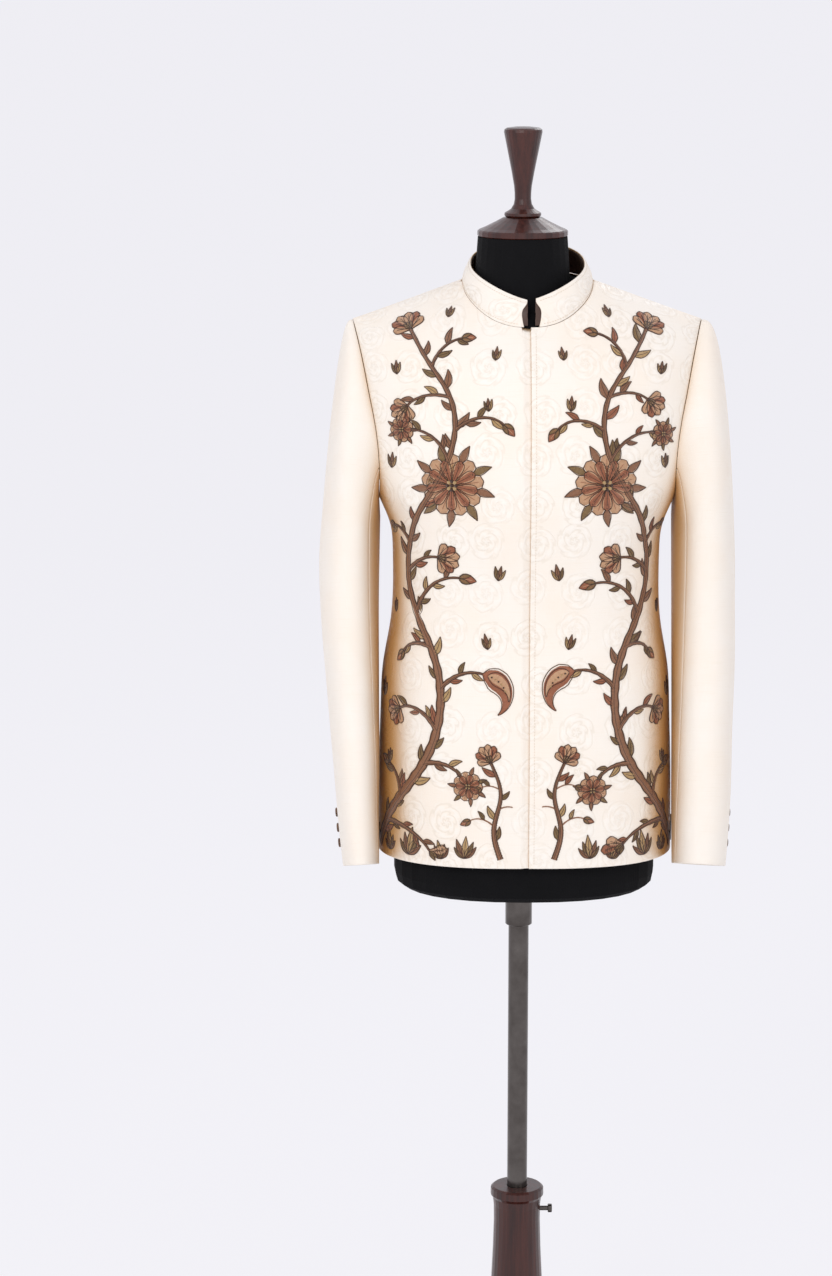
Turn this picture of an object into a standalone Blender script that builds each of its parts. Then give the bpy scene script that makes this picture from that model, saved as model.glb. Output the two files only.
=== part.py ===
"""Bandhgala jacket with a band collar, worn by a limbless dress form on a turned stand.

Metres, +Z up, the jacket's front faces -Y and +X is the viewer's right. The origin is on the floor, on the axis of
the stand's pole. The jacket is cut from one smooth body surface, a headless, armless torso: panels are trimmed from
it along the neckline, the armholes, the side seams and the shoulder seams, and the dress form is the same surface
moved in. Each sleeve is a tube whose head closes on to the armhole.
"""

from collections import namedtuple
from math import atan2, cos, pi, radians, sin

import bmesh
import bpy
import numpy as np
from mathutils import Vector

# The jacket hangs a little to one side of the stand's axis
FIGURE_X = 0.006

# Cloth
WALL = 0.0018
LINING_WALL = 0.0010
SEAM_GAP = 0.0004
LAYER_GAP = 0.0006

# Front closing: the wearer's left front laps over the right one
CLOSING_X = 0.002
LAP_WIDTH = 0.028
DIP_START_X = 0.013

# Neckline in plan, and the top edge of the collar
NECK_HALF_WIDTH = 0.078
NECK_FRONT = 0.075
NECK_BACK = 0.070
NECK_ROUND = 2.2
COLLAR_TOP_HALF_WIDTH = 0.0685
COLLAR_TOP_FRONT = 0.066
COLLAR_TOP_BACK = 0.061
COLLAR_TOP_SIDE_Z = 1.4976
COLLAR_TOP_FRONT_RISE = 0.58
COLLAR_TOP_BACK_RISE = 0.32
COLLAR_TOP_CORNER_RISE = 0.0099
COLLAR_BULGE = 0.0022
NOTCH_CENTRE_X = 0.003
LINING_SHOWS = 0.0066
LINING_LEAST_GAP = 0.0044
LINING_TOP_DROP = 0.04

# Sleeves: a tube up to the biceps line, then a head that closes on to the armhole
BICEPS_Z = 1.19
HEAD_ROUND = 3.0
VIEWER_RIGHT_LEAN = 0.058
VIEWER_LEFT_LEAN = 0.085
TOP_SLEEVE_BACK = radians(-65)
TOP_SLEEVE_FRONT = radians(125)
SEAM_ANGLE = 0.004
CUFF_TWIST = radians(30)
CUFF_SIDE_TILT = 0.22

# Cuff buttons
BUTTON_RADIUS = 0.0057
BUTTON_THICK = 0.0034
BUTTON_LINE = radians(-16)
BUTTON_TOP_Z = 0.8345
BUTTON_PITCH = 0.0175
BUTTON_COUNT = 3
BUTTON_GAP = 0.0004

# Dress form
FORM_BOTTOM_Z = 0.735
FORM_NECK_HALF_WIDTH = 0.0570
FORM_NECK_FRONT = 0.0580
FORM_NECK_BACK = 0.0550
FORM_NECK_TOP_RADIUS = 0.0535
FORM_NECK_TOP_Z = 1.5282
FORM_SHOULDER_END = 0.007

# Stand
POLE_RADIUS = 0.0125
BORE_RADIUS = 0.0131
SOCKET_RADIUS = 0.0165
SOCKET_BOTTOM_Z = 0.6800
FLANGE_RADIUS = 0.045
FLANGE_THICK = 0.0042
POLE_BOTTOM_Z = 0.160
BORE_BOTTOM_Z = 0.055
COLUMN_TOP_Z = 0.339
BASE_THICK = 0.030
BASE_RADIUS = 0.185
PART_GAP = 0.0003
SCREW_Z = 0.308
SCREW_RADIUS = 0.0030
SCREW_HOLE_RADIUS = 0.0036

# Sections of half the body, from the hem to the ridge of the shoulder. side: where the front and back surfaces meet.
# front, back: the middle line on each side. round: the power of the rounded section. drop: how the section falls from
# the middle to the side. clear: how far inside the surface the dress form lies.
Level = namedtuple(
    "Level", "z_side x_side y_side z_front y_front z_back y_back round_front round_back drop clear"
)
LEVELS = [
    Level(0.7810, 0.1800, 0.004, 0.7845, -0.130, 0.7800, 0.119, 2.30, 2.35, 1.5, 0.0200),
    Level(0.8400, 0.1795, 0.004, 0.8420, -0.130, 0.8400, 0.122, 2.30, 2.35, 1.5, 0.0190),
    Level(0.9000, 0.1783, 0.004, 0.9000, -0.128, 0.9000, 0.121, 2.30, 2.35, 1.5, 0.0170),
    Level(0.9600, 0.1762, 0.004, 0.9600, -0.123, 0.9600, 0.114, 2.30, 2.30, 1.5, 0.0140),
    Level(1.0100, 0.1732, 0.003, 1.0100, -0.118, 1.0100, 0.105, 2.30, 2.25, 1.5, 0.0120),
    Level(1.0600, 0.1645, 0.002, 1.0600, -0.114, 1.0600, 0.097, 2.30, 2.20, 1.5, 0.0110),
    Level(1.1100, 0.1610, 0.001, 1.1100, -0.115, 1.1100, 0.096, 2.30, 2.20, 1.5, 0.0100),
    Level(1.1500, 0.1612, 0.001, 1.1500, -0.120, 1.1500, 0.101, 2.30, 2.25, 1.5, 0.0090),
    Level(1.1850, 0.1648, 0.000, 1.1850, -0.127, 1.1850, 0.110, 2.30, 2.30, 1.5, 0.0075),
    Level(1.2165, 0.1776, 0.000, 1.2165, -0.1315, 1.2165, 0.118, 2.30, 2.30, 1.5, 0.0065),
    Level(1.2500, 0.1890, 0.000, 1.2530, -0.1325, 1.2550, 0.1235, 2.30, 2.30, 1.5, 0.0062),
    Level(1.2900, 0.1975, 0.001, 1.2980, -0.1285, 1.3050, 0.1255, 2.30, 2.30, 1.5, 0.0060),
    Level(1.3300, 0.2030, 0.003, 1.3430, -0.1190, 1.3600, 0.1200, 2.35, 2.35, 1.5, 0.0058),
    Level(1.3700, 0.2065, 0.006, 1.3880, -0.1015, 1.4150, 0.1065, 2.40, 2.40, 1.5, 0.0056),
    Level(1.4015, 0.2090, 0.008, 1.4279, -0.0750, 1.4600, 0.0890, 2.30, 2.30, 1.4, 0.0052),
    Level(1.4155, 0.2100, 0.009, 1.4600, -0.0500, 1.4870, 0.0705, 2.15, 2.15, 1.25, 0.0042),
    Level(1.4245, 0.2104, 0.010, 1.4865, -0.0240, 1.5000, 0.0350, 2.05, 2.05, 1.08, 0.0030),
    Level(1.4288, 0.2106, 0.010, 1.5025, 0.0000, 1.5025, 0.0000, 2.00, 2.00, 1.00, 0.0025),
]
UNDERARM_LEVEL = 9

# Half width of the body at the armhole seam, seen from the front and from the back
ArmholePoint = namedtuple("ArmholePoint", "z x_front x_back")
ARMHOLE = [
    ArmholePoint(1.2165, 0.1776, 0.1776),
    ArmholePoint(1.2350, 0.1768, 0.1775),
    ArmholePoint(1.2544, 0.1766, 0.1780),
    ArmholePoint(1.2770, 0.1776, 0.1798),
    ArmholePoint(1.3107, 0.1816, 0.1840),
    ArmholePoint(1.3441, 0.1882, 0.1900),
    ArmholePoint(1.3791, 0.1954, 0.1965),
    ArmholePoint(1.4060, 0.2020, 0.2026),
    ArmholePoint(1.4292, 0.2090, 0.2090),
]

# Sections of the sleeves, from the cuff to the biceps line. tilt: how much the section's front is raised.
SleeveRing = namedtuple("SleeveRing", "z x_in x_out y_mid half_depth tilt")
VIEWER_RIGHT_SLEEVE = [
    SleeveRing(0.7720, 0.1780, 0.2425, -0.0630, 0.0590, 0.27),
    SleeveRing(0.8050, 0.1775, 0.2450, -0.0590, 0.0605, 0.20),
    SleeveRing(0.8450, 0.1770, 0.2475, -0.0540, 0.0625, 0.12),
    SleeveRing(0.8900, 0.1770, 0.2490, -0.0470, 0.0650, 0.06),
    SleeveRing(0.9400, 0.1772, 0.2500, -0.0370, 0.0680, 0.03),
    SleeveRing(0.9900, 0.1773, 0.2522, -0.0260, 0.0715, 0.01),
    SleeveRing(1.0400, 0.1773, 0.2534, -0.0150, 0.0750, 0.00),
    SleeveRing(1.0900, 0.1772, 0.2530, -0.0060, 0.0780, 0.00),
    SleeveRing(1.1400, 0.1768, 0.2528, 0.0000, 0.0805, 0.00),
    SleeveRing(1.1900, 0.1762, 0.2508, 0.0030, 0.0825, 0.00),
]
VIEWER_LEFT_SLEEVE = [
    SleeveRing(0.7720, 0.1778, 0.2215, -0.0650, 0.0590, 0.27),
    SleeveRing(0.8050, 0.1778, 0.2252, -0.0610, 0.0605, 0.20),
    SleeveRing(0.8450, 0.1778, 0.2290, -0.0540, 0.0630, 0.12),
    SleeveRing(0.8900, 0.1772, 0.2327, -0.0470, 0.0655, 0.06),
    SleeveRing(0.9400, 0.1775, 0.2372, -0.0370, 0.0685, 0.03),
    SleeveRing(0.9900, 0.1778, 0.2415, -0.0260, 0.0715, 0.01),
    SleeveRing(1.0400, 0.1780, 0.2460, -0.0150, 0.0750, 0.00),
    SleeveRing(1.0900, 0.1780, 0.2492, -0.0060, 0.0780, 0.00),
    SleeveRing(1.1400, 0.1772, 0.2502, 0.0000, 0.0805, 0.00),
    SleeveRing(1.1900, 0.1762, 0.2468, 0.0030, 0.0825, 0.00),
]
SLEEVE_ROUND = 2.2

# Half the gap between the collar's ends, from the seam up to the top edge
NotchPoint = namedtuple("NotchPoint", "height half_gap")
NOTCH = [
    NotchPoint(0.00, 0.0090),
    NotchPoint(0.35, 0.0112),
    NotchPoint(0.65, 0.0098),
    NotchPoint(0.88, 0.0052),
    NotchPoint(1.00, 0.0050),
]

# Mesh densities
SKIRT_ROWS = 11
CHEST_ROWS = 8
NECK_ROWS = 7
PANEL_COLUMNS = 10
TUBE_ROWS = 10
HEAD_ROWS = 6
FORM_COLUMNS = 8
FORM_ROWS = 16
TURNED_SEGMENTS = 28

MATERIALS = {
    "brocade": ((0.93, 0.87, 0.75), 0.55, 0.0),
    "lining": ((0.12, 0.06, 0.04), 0.60, 0.0),
    "button": ((0.20, 0.12, 0.07), 0.30, 0.0),
    "form_cover": ((0.012, 0.012, 0.014), 0.85, 0.0),
    "polished_wood": ((0.10, 0.028, 0.020), 0.25, 0.0),
    "chrome": ((0.62, 0.62, 0.64), 0.18, 1.0),
}


def spline(stations, rows):
    """A natural cubic curve through the rows of numbers at the stations, as a function of the station."""
    t = np.asarray(stations, float)
    y = np.asarray(rows, float)
    h = np.diff(t)
    matrix = np.eye(len(t))
    right = np.zeros_like(y)
    for i in range(1, len(t) - 1):
        matrix[i, i - 1 : i + 2] = h[i - 1], 2 * (h[i - 1] + h[i]), h[i]
        right[i] = 6 * ((y[i + 1] - y[i]) / h[i] - (y[i] - y[i - 1]) / h[i - 1])
    bend = np.linalg.solve(matrix, right)

    def at(s):
        i = int(np.clip(np.searchsorted(t, s) - 1, 0, len(t) - 2))
        a, b = t[i + 1] - s, s - t[i]
        return (
            (bend[i] * a**3 + bend[i + 1] * b**3) / (6 * h[i])
            + (y[i] / h[i] - bend[i] * h[i] / 6) * a
            + (y[i + 1] / h[i] - bend[i + 1] * h[i] / 6) * b
        )

    return at


def bisect(rises_through_zero, low, high, steps=40):
    """Where a rising function of one number passes zero."""
    for _ in range(steps):
        middle = (low + high) / 2
        if rises_through_zero(middle) < 0:
            low = middle
        else:
            high = middle
    return (low + high) / 2


# The body surface. Station t runs from the front hem (0) over the shoulder ridge (RIDGE) to the back hem (2 RIDGE),
# and u from the middle line (0) to the side line (1).
def level_distance(a, b):
    side = np.hypot(np.hypot(b.x_side - a.x_side, b.z_side - a.z_side), b.y_side - a.y_side)
    front = np.hypot(b.y_front - a.y_front, b.z_front - a.z_front)
    back = np.hypot(b.y_back - a.y_back, b.z_back - a.z_back)
    return (side + front + back) / 3


STATIONS = [0.0]
for below, above in zip(LEVELS, LEVELS[1:]):
    STATIONS.append(STATIONS[-1] + level_distance(below, above))
RIDGE = STATIONS[-1]
UNDERARM = STATIONS[UNDERARM_LEVEL]

FRONT_CHAIN = [
    (w.z_side, w.x_side, w.y_side, w.z_front, w.y_front, w.round_front, w.drop, w.clear) for w in LEVELS
]
BACK_CHAIN = [
    (w.z_side, w.x_side, w.y_side, w.z_back, w.y_back, w.round_back, w.drop, w.clear) for w in LEVELS[-2::-1]
]
section = spline(STATIONS + [2 * RIDGE - s for s in STATIONS[-2::-1]], FRONT_CHAIN + BACK_CHAIN)


def body(u, t):
    """A point of the body surface."""
    z_side, x_side, y_side, z_mid, y_mid, rounding, drop, _ = section(t)
    turn = min(abs(u), 1.0) * pi / 2
    across = sin(turn) ** (2 / rounding)
    deep = 1 - max(cos(turn), 0.0) ** (2 / rounding)
    x = x_side * across * (1 if u >= 0 else -1)
    return np.array([x, y_mid + (y_side - y_mid) * deep, z_mid + (z_side - z_mid) * across**drop])


def normal_of(surface, u, t, low_u=-10.0, high_u=10.0, step=1e-3):
    """The outward normal of surface(u, t), by differences kept inside its range of u."""
    u0, u1 = max(u - step, low_u), min(u + step, high_u)
    along_u = surface(u1, t) - surface(u0, t)
    along_t = surface(u, t + step) - surface(u, t - step)
    n = np.cross(along_u, along_t)
    return n / np.linalg.norm(n)


def body_normal(u, t):
    return normal_of(body, u, t, -1.0, 1.0)


def u_at_x(x, t):
    """The column of the body surface that lies x from the middle, on row t."""
    return bisect(lambda u: body(u, t)[0] - x, 0.0, 1.0)


armhole_x = spline([p.z for p in ARMHOLE], [(p.x_front, p.x_back) for p in ARMHOLE])


def u_at_armhole(t):
    """The column where row t ends: the side line up to the underarm, then the armhole seam."""
    back = t > RIDGE
    height = 2 * RIDGE - t if back else t
    if height <= UNDERARM:
        return 1.0

    def beyond(u):
        x, _, z = body(u, t)
        return x - armhole_x(z)[1 if back else 0]

    return bisect(beyond, 0.5, 1.0) if beyond(1.0) > 0 else 1.0


def neck_plan(angle, half_width=NECK_HALF_WIDTH, front=NECK_FRONT, back=NECK_BACK):
    """A point of the neckline in plan. Angle 0 is the middle of the front, and pi the middle of the back."""
    s, c = sin(angle), cos(angle)
    x = half_width * abs(s) ** (2 / NECK_ROUND) * (1 if s >= 0 else -1)
    return x, -front * c ** (2 / NECK_ROUND) if c >= 0 else back * (-c) ** (2 / NECK_ROUND)


def body_at_plan(x, y, low=UNDERARM, high=2 * RIDGE - UNDERARM):
    """The column and row of the body surface above or below the point (x, y) of the upper body."""

    def reached(t):
        return body(u_at_x(abs(x), t), t)[1] - y

    t = bisect(reached, low, high)
    return u_at_x(abs(x), t), t


NECK_FRONT_ROW = body_at_plan(0.0, -NECK_FRONT)[1]
NECK_BACK_ROW = body_at_plan(0.0, NECK_BACK)[1]


class Sheet:
    """An open sheet of cloth: its outer points, their outward normals and its faces."""

    def __init__(self):
        self.points, self.normals, self.faces = [], [], []

    def add(self, point, normal):
        self.points.append(np.asarray(point, float))
        self.normals.append(np.asarray(normal, float))
        return len(self.points) - 1

    def grid(self, rows):
        """Adds faces between rows of point numbers. A row may hold None where it has no point."""
        for lower, upper in zip(rows, rows[1:]):
            for a, b, c, d in zip(lower, lower[1:], upper[1:], upper):
                corners = tuple(dict.fromkeys((a, b, c, d)))
                if None in corners or len(corners) < 3:
                    continue
                if len(corners) == 3:
                    self.faces.append(corners)
                elif self.distance(a, c) < self.distance(b, d):
                    self.faces += [(a, b, c), (a, c, d)]
                else:
                    self.faces += [(a, b, d), (b, c, d)]

    def distance(self, i, j):
        return float(np.linalg.norm(self.points[i] - self.points[j]))

    def mirrored(self):
        """The same sheet on the other side of the middle."""
        flip = np.array([-1.0, 1.0, 1.0])
        other = Sheet()
        other.points = [p * flip for p in self.points]
        other.normals = [n * flip for n in self.normals]
        other.faces = [f[::-1] for f in self.faces]
        return other

    def joined(self, other, near=1e-6):
        """This sheet and another one as a single sheet, with the points that coincide made one.

        Two faces that fall on each other back to back, as at the end of a ridge, both go.
        """
        both, number, seen, kept = Sheet(), {}, {}, {}
        for which, sheet in enumerate((self, other)):
            for i, (p, n) in enumerate(zip(sheet.points, sheet.normals)):
                key = tuple(np.round(p / near).astype(int))
                if key not in seen:
                    seen[key] = both.add(p, n)
                number[which, i] = seen[key]
            for f in sheet.faces:
                corners = tuple(dict.fromkeys(number[which, i] for i in f))
                if len(corners) > 2 and kept.pop(frozenset(corners), None) is None:
                    kept[frozenset(corners)] = corners
        both.faces = list(kept.values())
        return both

    def thickened(self, wall):
        """The vertices and faces of the closed wall between the sheet and a copy moved in by wall."""
        count = len(self.points)
        vertices = self.points + [p - wall * n for p, n in zip(self.points, self.normals)]
        faces = self.faces + [tuple(i + count for i in reversed(f)) for f in self.faces]
        edges = {(a, b) for f in self.faces for a, b in zip(f, f[1:] + f[:1])}
        faces += [(b, a, a + count, b + count) for a, b in edges if (b, a) not in edges]
        return vertices, faces


def material(name):
    made = bpy.data.materials.get(name)
    if made is None:
        colour, roughness, metallic = MATERIALS[name]
        made = bpy.data.materials.new(name)
        made.use_nodes = True
        shader = made.node_tree.nodes["Principled BSDF"]
        shader.inputs["Base Color"].default_value = (*colour, 1.0)
        shader.inputs["Roughness"].default_value = roughness
        shader.inputs["Metallic"].default_value = metallic
    return made


def solid(name, vertices, faces, material_name, parent=None, sharp=40, shift=0.0):
    """A named closed mesh object, moved by shift along X."""
    mesh = bpy.data.meshes.new(name)
    work = bmesh.new()
    made = [work.verts.new((v[0] + shift, v[1], v[2])) for v in vertices]
    for f in faces:
        work.faces.new([made[i] for i in f])
    bmesh.ops.recalc_face_normals(work, faces=work.faces)
    work.to_mesh(mesh)
    work.free()
    mesh.shade_smooth()
    mesh.set_sharp_from_angle(angle=radians(sharp))
    mesh.materials.append(material(material_name))
    made_object = bpy.data.objects.new(name, mesh)
    bpy.context.scene.collection.objects.link(made_object)
    made_object.parent = parent
    return made_object


# Jacket body panels
def skirt_rows():
    return [UNDERARM * k / SKIRT_ROWS for k in range(SKIRT_ROWS + 1)]


def chest_rows(neck_row):
    """Rows from the underarm to the neckline, closest together where the armhole turns up."""
    return [UNDERARM + (neck_row - UNDERARM) * (k / CHEST_ROWS) ** 1.6 for k in range(1, CHEST_ROWS + 1)]


def neckline_stops(front):
    """Column and row of the body surface at even steps of the neckline, from the middle to the shoulder."""
    quarter = [pi / 2 * k / NECK_ROWS for k in range(1, NECK_ROWS)]
    stops = [body_at_plan(*neck_plan(a if front else pi - a)) for a in quarter]
    return stops + [(u_at_x(NECK_HALF_WIDTH, RIDGE), RIDGE)]


def panel_point(sheet, u, t, inward=0.0):
    """Adds a point of the body surface, kept off the side seam and the shoulder seam by half a seam gap."""
    point, normal = body(u, t), body_normal(u, t)
    front = t <= RIDGE
    side_seam = u >= 1.0 and min(t, 2 * RIDGE - t) <= UNDERARM + 1e-9
    ridge = abs(t - RIDGE) < 1e-9
    if side_seam or ridge:
        point = point + np.array([0.0, -SEAM_GAP / 2 if front else SEAM_GAP / 2, 0.0])
    return sheet.add(point - inward * normal, normal)


def front_panel(laps_over):
    """Half of the front on the +X side. The lap that goes under runs on past the middle, a layer lower."""
    sheet, rows = Sheet(), []
    lap = () if laps_over else (-LAP_WIDTH, -LAP_WIDTH / 2, CLOSING_X / 2)
    start_x = CLOSING_X if laps_over else DIP_START_X
    for t in skirt_rows() + chest_rows(NECK_FRONT_ROW):
        first, last = u_at_x(start_x, t), u_at_armhole(t)
        row = []
        for x in lap:
            u = u_at_x(abs(x), t) * (1 if x >= 0 else -1)
            row.append(panel_point(sheet, u, t, WALL + LAYER_GAP))
        row += [
            panel_point(sheet, first + (last - first) * k / PANEL_COLUMNS, t) for k in range(PANEL_COLUMNS + 1)
        ]
        rows.append(row)
    for first, t in neckline_stops(front=True):
        last = u_at_armhole(t)
        on_ridge = abs(t - RIDGE) < 1e-9
        station = RIDGE if on_ridge else t
        row = [None] * len(lap)
        row += [
            panel_point(sheet, first + (last - first) * k / PANEL_COLUMNS, station)
            for k in range(PANEL_COLUMNS + 1)
        ]
        rows.append(row)
    sheet.grid(rows)
    return sheet


def back_panel():
    """Half of the back on the +X side."""
    sheet, rows = Sheet(), []
    height_of_neck = 2 * RIDGE - NECK_BACK_ROW
    for height in skirt_rows() + chest_rows(height_of_neck):
        t = 2 * RIDGE - height
        last = u_at_armhole(t)
        rows.append([panel_point(sheet, last * k / PANEL_COLUMNS, t) for k in range(PANEL_COLUMNS + 1)])
    for first, t in neckline_stops(front=False):
        t = RIDGE + 1e-12 if abs(t - RIDGE) < 1e-9 else t
        last = u_at_armhole(t)
        rows.append(
            [panel_point(sheet, first + (last - first) * k / PANEL_COLUMNS, t) for k in range(PANEL_COLUMNS + 1)]
        )
    sheet.grid([row[::-1] for row in rows])
    return sheet


def make_body_panels(parent):
    over = front_panel(laps_over=True)
    under = front_panel(laps_over=False).mirrored()
    half_back = back_panel()
    back = half_back.joined(half_back.mirrored())
    for name, sheet in (("front_left", over), ("front_right", under), ("back", back)):
        solid(name, *sheet.thickened(WALL), "brocade", parent, shift=FIGURE_X)


# Collar
def neckline_height(angle):
    """Height of the neckline at an angle round the neck."""
    x, y = neck_plan(angle)
    return body(*body_at_plan(x, y))[2]


NECK_ANGLES = [pi * k / (4 * NECK_ROWS) for k in range(4 * NECK_ROWS + 1)]
neckline_z = spline(NECK_ANGLES, [(neckline_height(a),) for a in NECK_ANGLES])
half_gap = spline([p.height for p in NOTCH], [(p.half_gap,) for p in NOTCH])


def collar(angle, height):
    """A point of the collar's outer face. Height 0 is the neck seam and 1 the top edge."""
    turned = abs(atan2(sin(angle), cos(angle)))
    low_x, low_y = neck_plan(angle)
    top_x, top_y = neck_plan(angle, COLLAR_TOP_HALF_WIDTH, COLLAR_TOP_FRONT, COLLAR_TOP_BACK)
    low_z = neckline_z(turned)[0] + SEAM_GAP + 0.0001
    top_z = COLLAR_TOP_SIDE_Z + top_y * (COLLAR_TOP_FRONT_RISE if top_y < 0 else COLLAR_TOP_BACK_RISE)
    top_z += COLLAR_TOP_CORNER_RISE * max(sin(2 * turned), 0.0)
    low, top = np.array([low_x, low_y, low_z]), np.array([top_x, top_y, top_z])
    out = np.array([low_x, low_y, 0.0]) / np.hypot(low_x, low_y)
    return low + (top - low) * height + out * COLLAR_BULGE * 4 * height * (1 - height)


def angle_at_x(x, height):
    """How far round from the middle of the front the collar is x to one side."""
    return bisect(lambda a: collar(a, height)[0] - x, 0.0, pi / 2)


def collar_sheet(heights, inward, closer):
    """The collar's band, or its lining: inward is the distance inside, closer how much nearer its ends come.

    Its columns stand on the vertices of the panels' neckline.
    """
    sheet, rows = Sheet(), []
    for h in heights:
        gap = max(half_gap(h)[0] - closer, LINING_LEAST_GAP)
        first = angle_at_x(gap + NOTCH_CENTRE_X, h)
        last = 2 * pi - angle_at_x(gap - NOTCH_CENTRE_X, h)
        angles = [first] + [pi / 2 * k / NECK_ROWS for k in range(1, 4 * NECK_ROWS)] + [last]
        row = []
        for a in angles:
            normal = normal_of(collar, a, h)
            row.append(sheet.add(collar(a, h) - inward * normal, normal))
        rows.append(row)
    sheet.grid(rows)
    return sheet


def make_collar(parent):
    band = collar_sheet((0.0, 0.35, 0.65, 0.88, 1.0), 0.0, 0.0)
    lining = collar_sheet((0.05, 0.35, 0.65, 1 - LINING_TOP_DROP), WALL + SEAM_GAP, LINING_SHOWS)
    solid("collar", *band.thickened(WALL), "brocade", parent, shift=FIGURE_X)
    solid("collar_lining", *lining.thickened(LINING_WALL), "lining", parent, shift=FIGURE_X)


# Sleeves
def armhole_half(front):
    """Shares of the length, and points, of half the armhole seam from the shoulder to the underarm.

    The points are the vertices of the panel's own edge.
    """
    neck_row = NECK_FRONT_ROW if front else 2 * RIDGE - NECK_BACK_ROW
    heights = [UNDERARM] + chest_rows(neck_row)
    heights += [t if front else 2 * RIDGE - t for _, t in neckline_stops(front)]
    rows = [t if front else 2 * RIDGE - t for t in reversed(heights)]
    points = np.array([body(u_at_armhole(t), t) for t in rows])
    lengths = np.concatenate([[0.0], np.cumsum(np.linalg.norm(np.diff(points, axis=0), axis=1))])
    return lengths / lengths[-1], points


ARMHOLE_HALVES = (armhole_half(front=True), armhole_half(front=False))
FRONT_STOPS = [pi * share for share in ARMHOLE_HALVES[0][0]]
BACK_STOPS = [-pi * share for share in ARMHOLE_HALVES[1][0]]


def armhole_point(angle):
    """The armhole seam, 0 at the shoulder point, +pi at the underarm round the front and -pi round the back."""
    shares, points = ARMHOLE_HALVES[0 if angle >= 0 else 1]
    share = abs(angle) / pi
    return np.array([np.interp(share, shares, points[:, k]) for k in range(3)]) + np.array([SEAM_GAP, 0.0, 0.0])


def sleeve_stops(part):
    """The angles of the columns of the top sleeve or the under sleeve, the long way round from its first seam."""
    front_seam = min(FRONT_STOPS, key=lambda a: abs(a - TOP_SLEEVE_FRONT))
    back_seam = min(BACK_STOPS, key=lambda a: abs(a - TOP_SLEEVE_BACK))
    if part == "top":
        inner = [a for a in BACK_STOPS + FRONT_STOPS[1:] if back_seam < a < front_seam]
        return [back_seam + SEAM_ANGLE] + sorted(inner) + [front_seam - SEAM_ANGLE]
    inner = [a for a in FRONT_STOPS if a > front_seam] + [a + 2 * pi for a in BACK_STOPS if -pi < a < back_seam]
    return [front_seam + SEAM_ANGLE] + sorted(inner) + [back_seam + 2 * pi - SEAM_ANGLE]


class Sleeve:
    """One sleeve on the +X side. Angle 0 is its outer line, +90 degrees its front and 180 its inner line."""

    def __init__(self, rings, lean):
        self.lean = lean
        self.ring = spline([r.z for r in rings], [r[1:] for r in rings])
        self.cuff_z = rings[0].z

    def tube(self, angle, z):
        x_in, x_out, y_mid, half_depth, tilt = self.ring(z)
        c, s = cos(angle), sin(angle)
        across = abs(c) ** (2 / SLEEVE_ROUND) * (1 if c >= 0 else -1)
        deep = abs(s) ** (2 / SLEEVE_ROUND) * (1 if s >= 0 else -1)
        half_width = (x_out - x_in) / 2
        raised = tilt * (half_depth * deep - CUFF_SIDE_TILT * half_width * across)
        return np.array([(x_in + x_out) / 2 + half_width * across, y_mid - half_depth * deep, z + raised])

    def surface(self, angle, v):
        """v runs from 0 at the cuff to 1 at the biceps line and 2 at the armhole seam."""
        angle = atan2(sin(angle), cos(angle))
        if v <= 1:
            return self.tube(angle, self.cuff_z + (BICEPS_Z - self.cuff_z) * v)
        low, high = self.tube(angle, BICEPS_Z), armhole_point(angle)
        turn = min(v - 1, 1.0) * pi / 2
        rounding = 1 + (HEAD_ROUND - 1) * cos(angle / 2) ** 2
        up = sin(turn) ** (2 / rounding)
        aside = 1 - max(cos(turn), 0.0) ** (2 / rounding)
        z = low[2] + (high[2] - low[2]) * up
        x = low[0] - self.lean * (z - low[2]) * max(cos(angle), 0.0)
        return np.array([x + (high[0] - x) * aside, low[1] + (high[1] - low[1]) * aside, z])

    def normal(self, angle, v, step=0.02):
        v0, v1 = max(v - 0.1 * step, 0.0), min(v + 0.1 * step, 2.0)
        along_v = self.surface(angle, v1) - self.surface(angle, v0)
        along_angle = self.surface(angle + step, v) - self.surface(angle - step, v)
        n = np.cross(along_v, along_angle)
        return n / np.linalg.norm(n)

    def strip(self, angles):
        sheet, rows = Sheet(), []
        heights = [k / TUBE_ROWS for k in range(TUBE_ROWS + 1)]
        heights += [1 + k / HEAD_ROWS for k in range(1, HEAD_ROWS + 1)]
        # The walls on the two sides of a seam are parallel, because both use the normal at the seam itself.
        facing = [angles[0] - SEAM_ANGLE, *angles[1:-1], angles[-1] + SEAM_ANGLE]
        for v in heights:
            # Below the biceps line the seams turn forward, towards the cuff
            turn = CUFF_TWIST * max(1 - v, 0.0) ** 1.5
            rows.append(
                [sheet.add(self.surface(a + turn, v), self.normal(b + turn, v)) for a, b in zip(angles, facing)]
            )
        sheet.grid([row[::-1] for row in rows])
        return sheet


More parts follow.
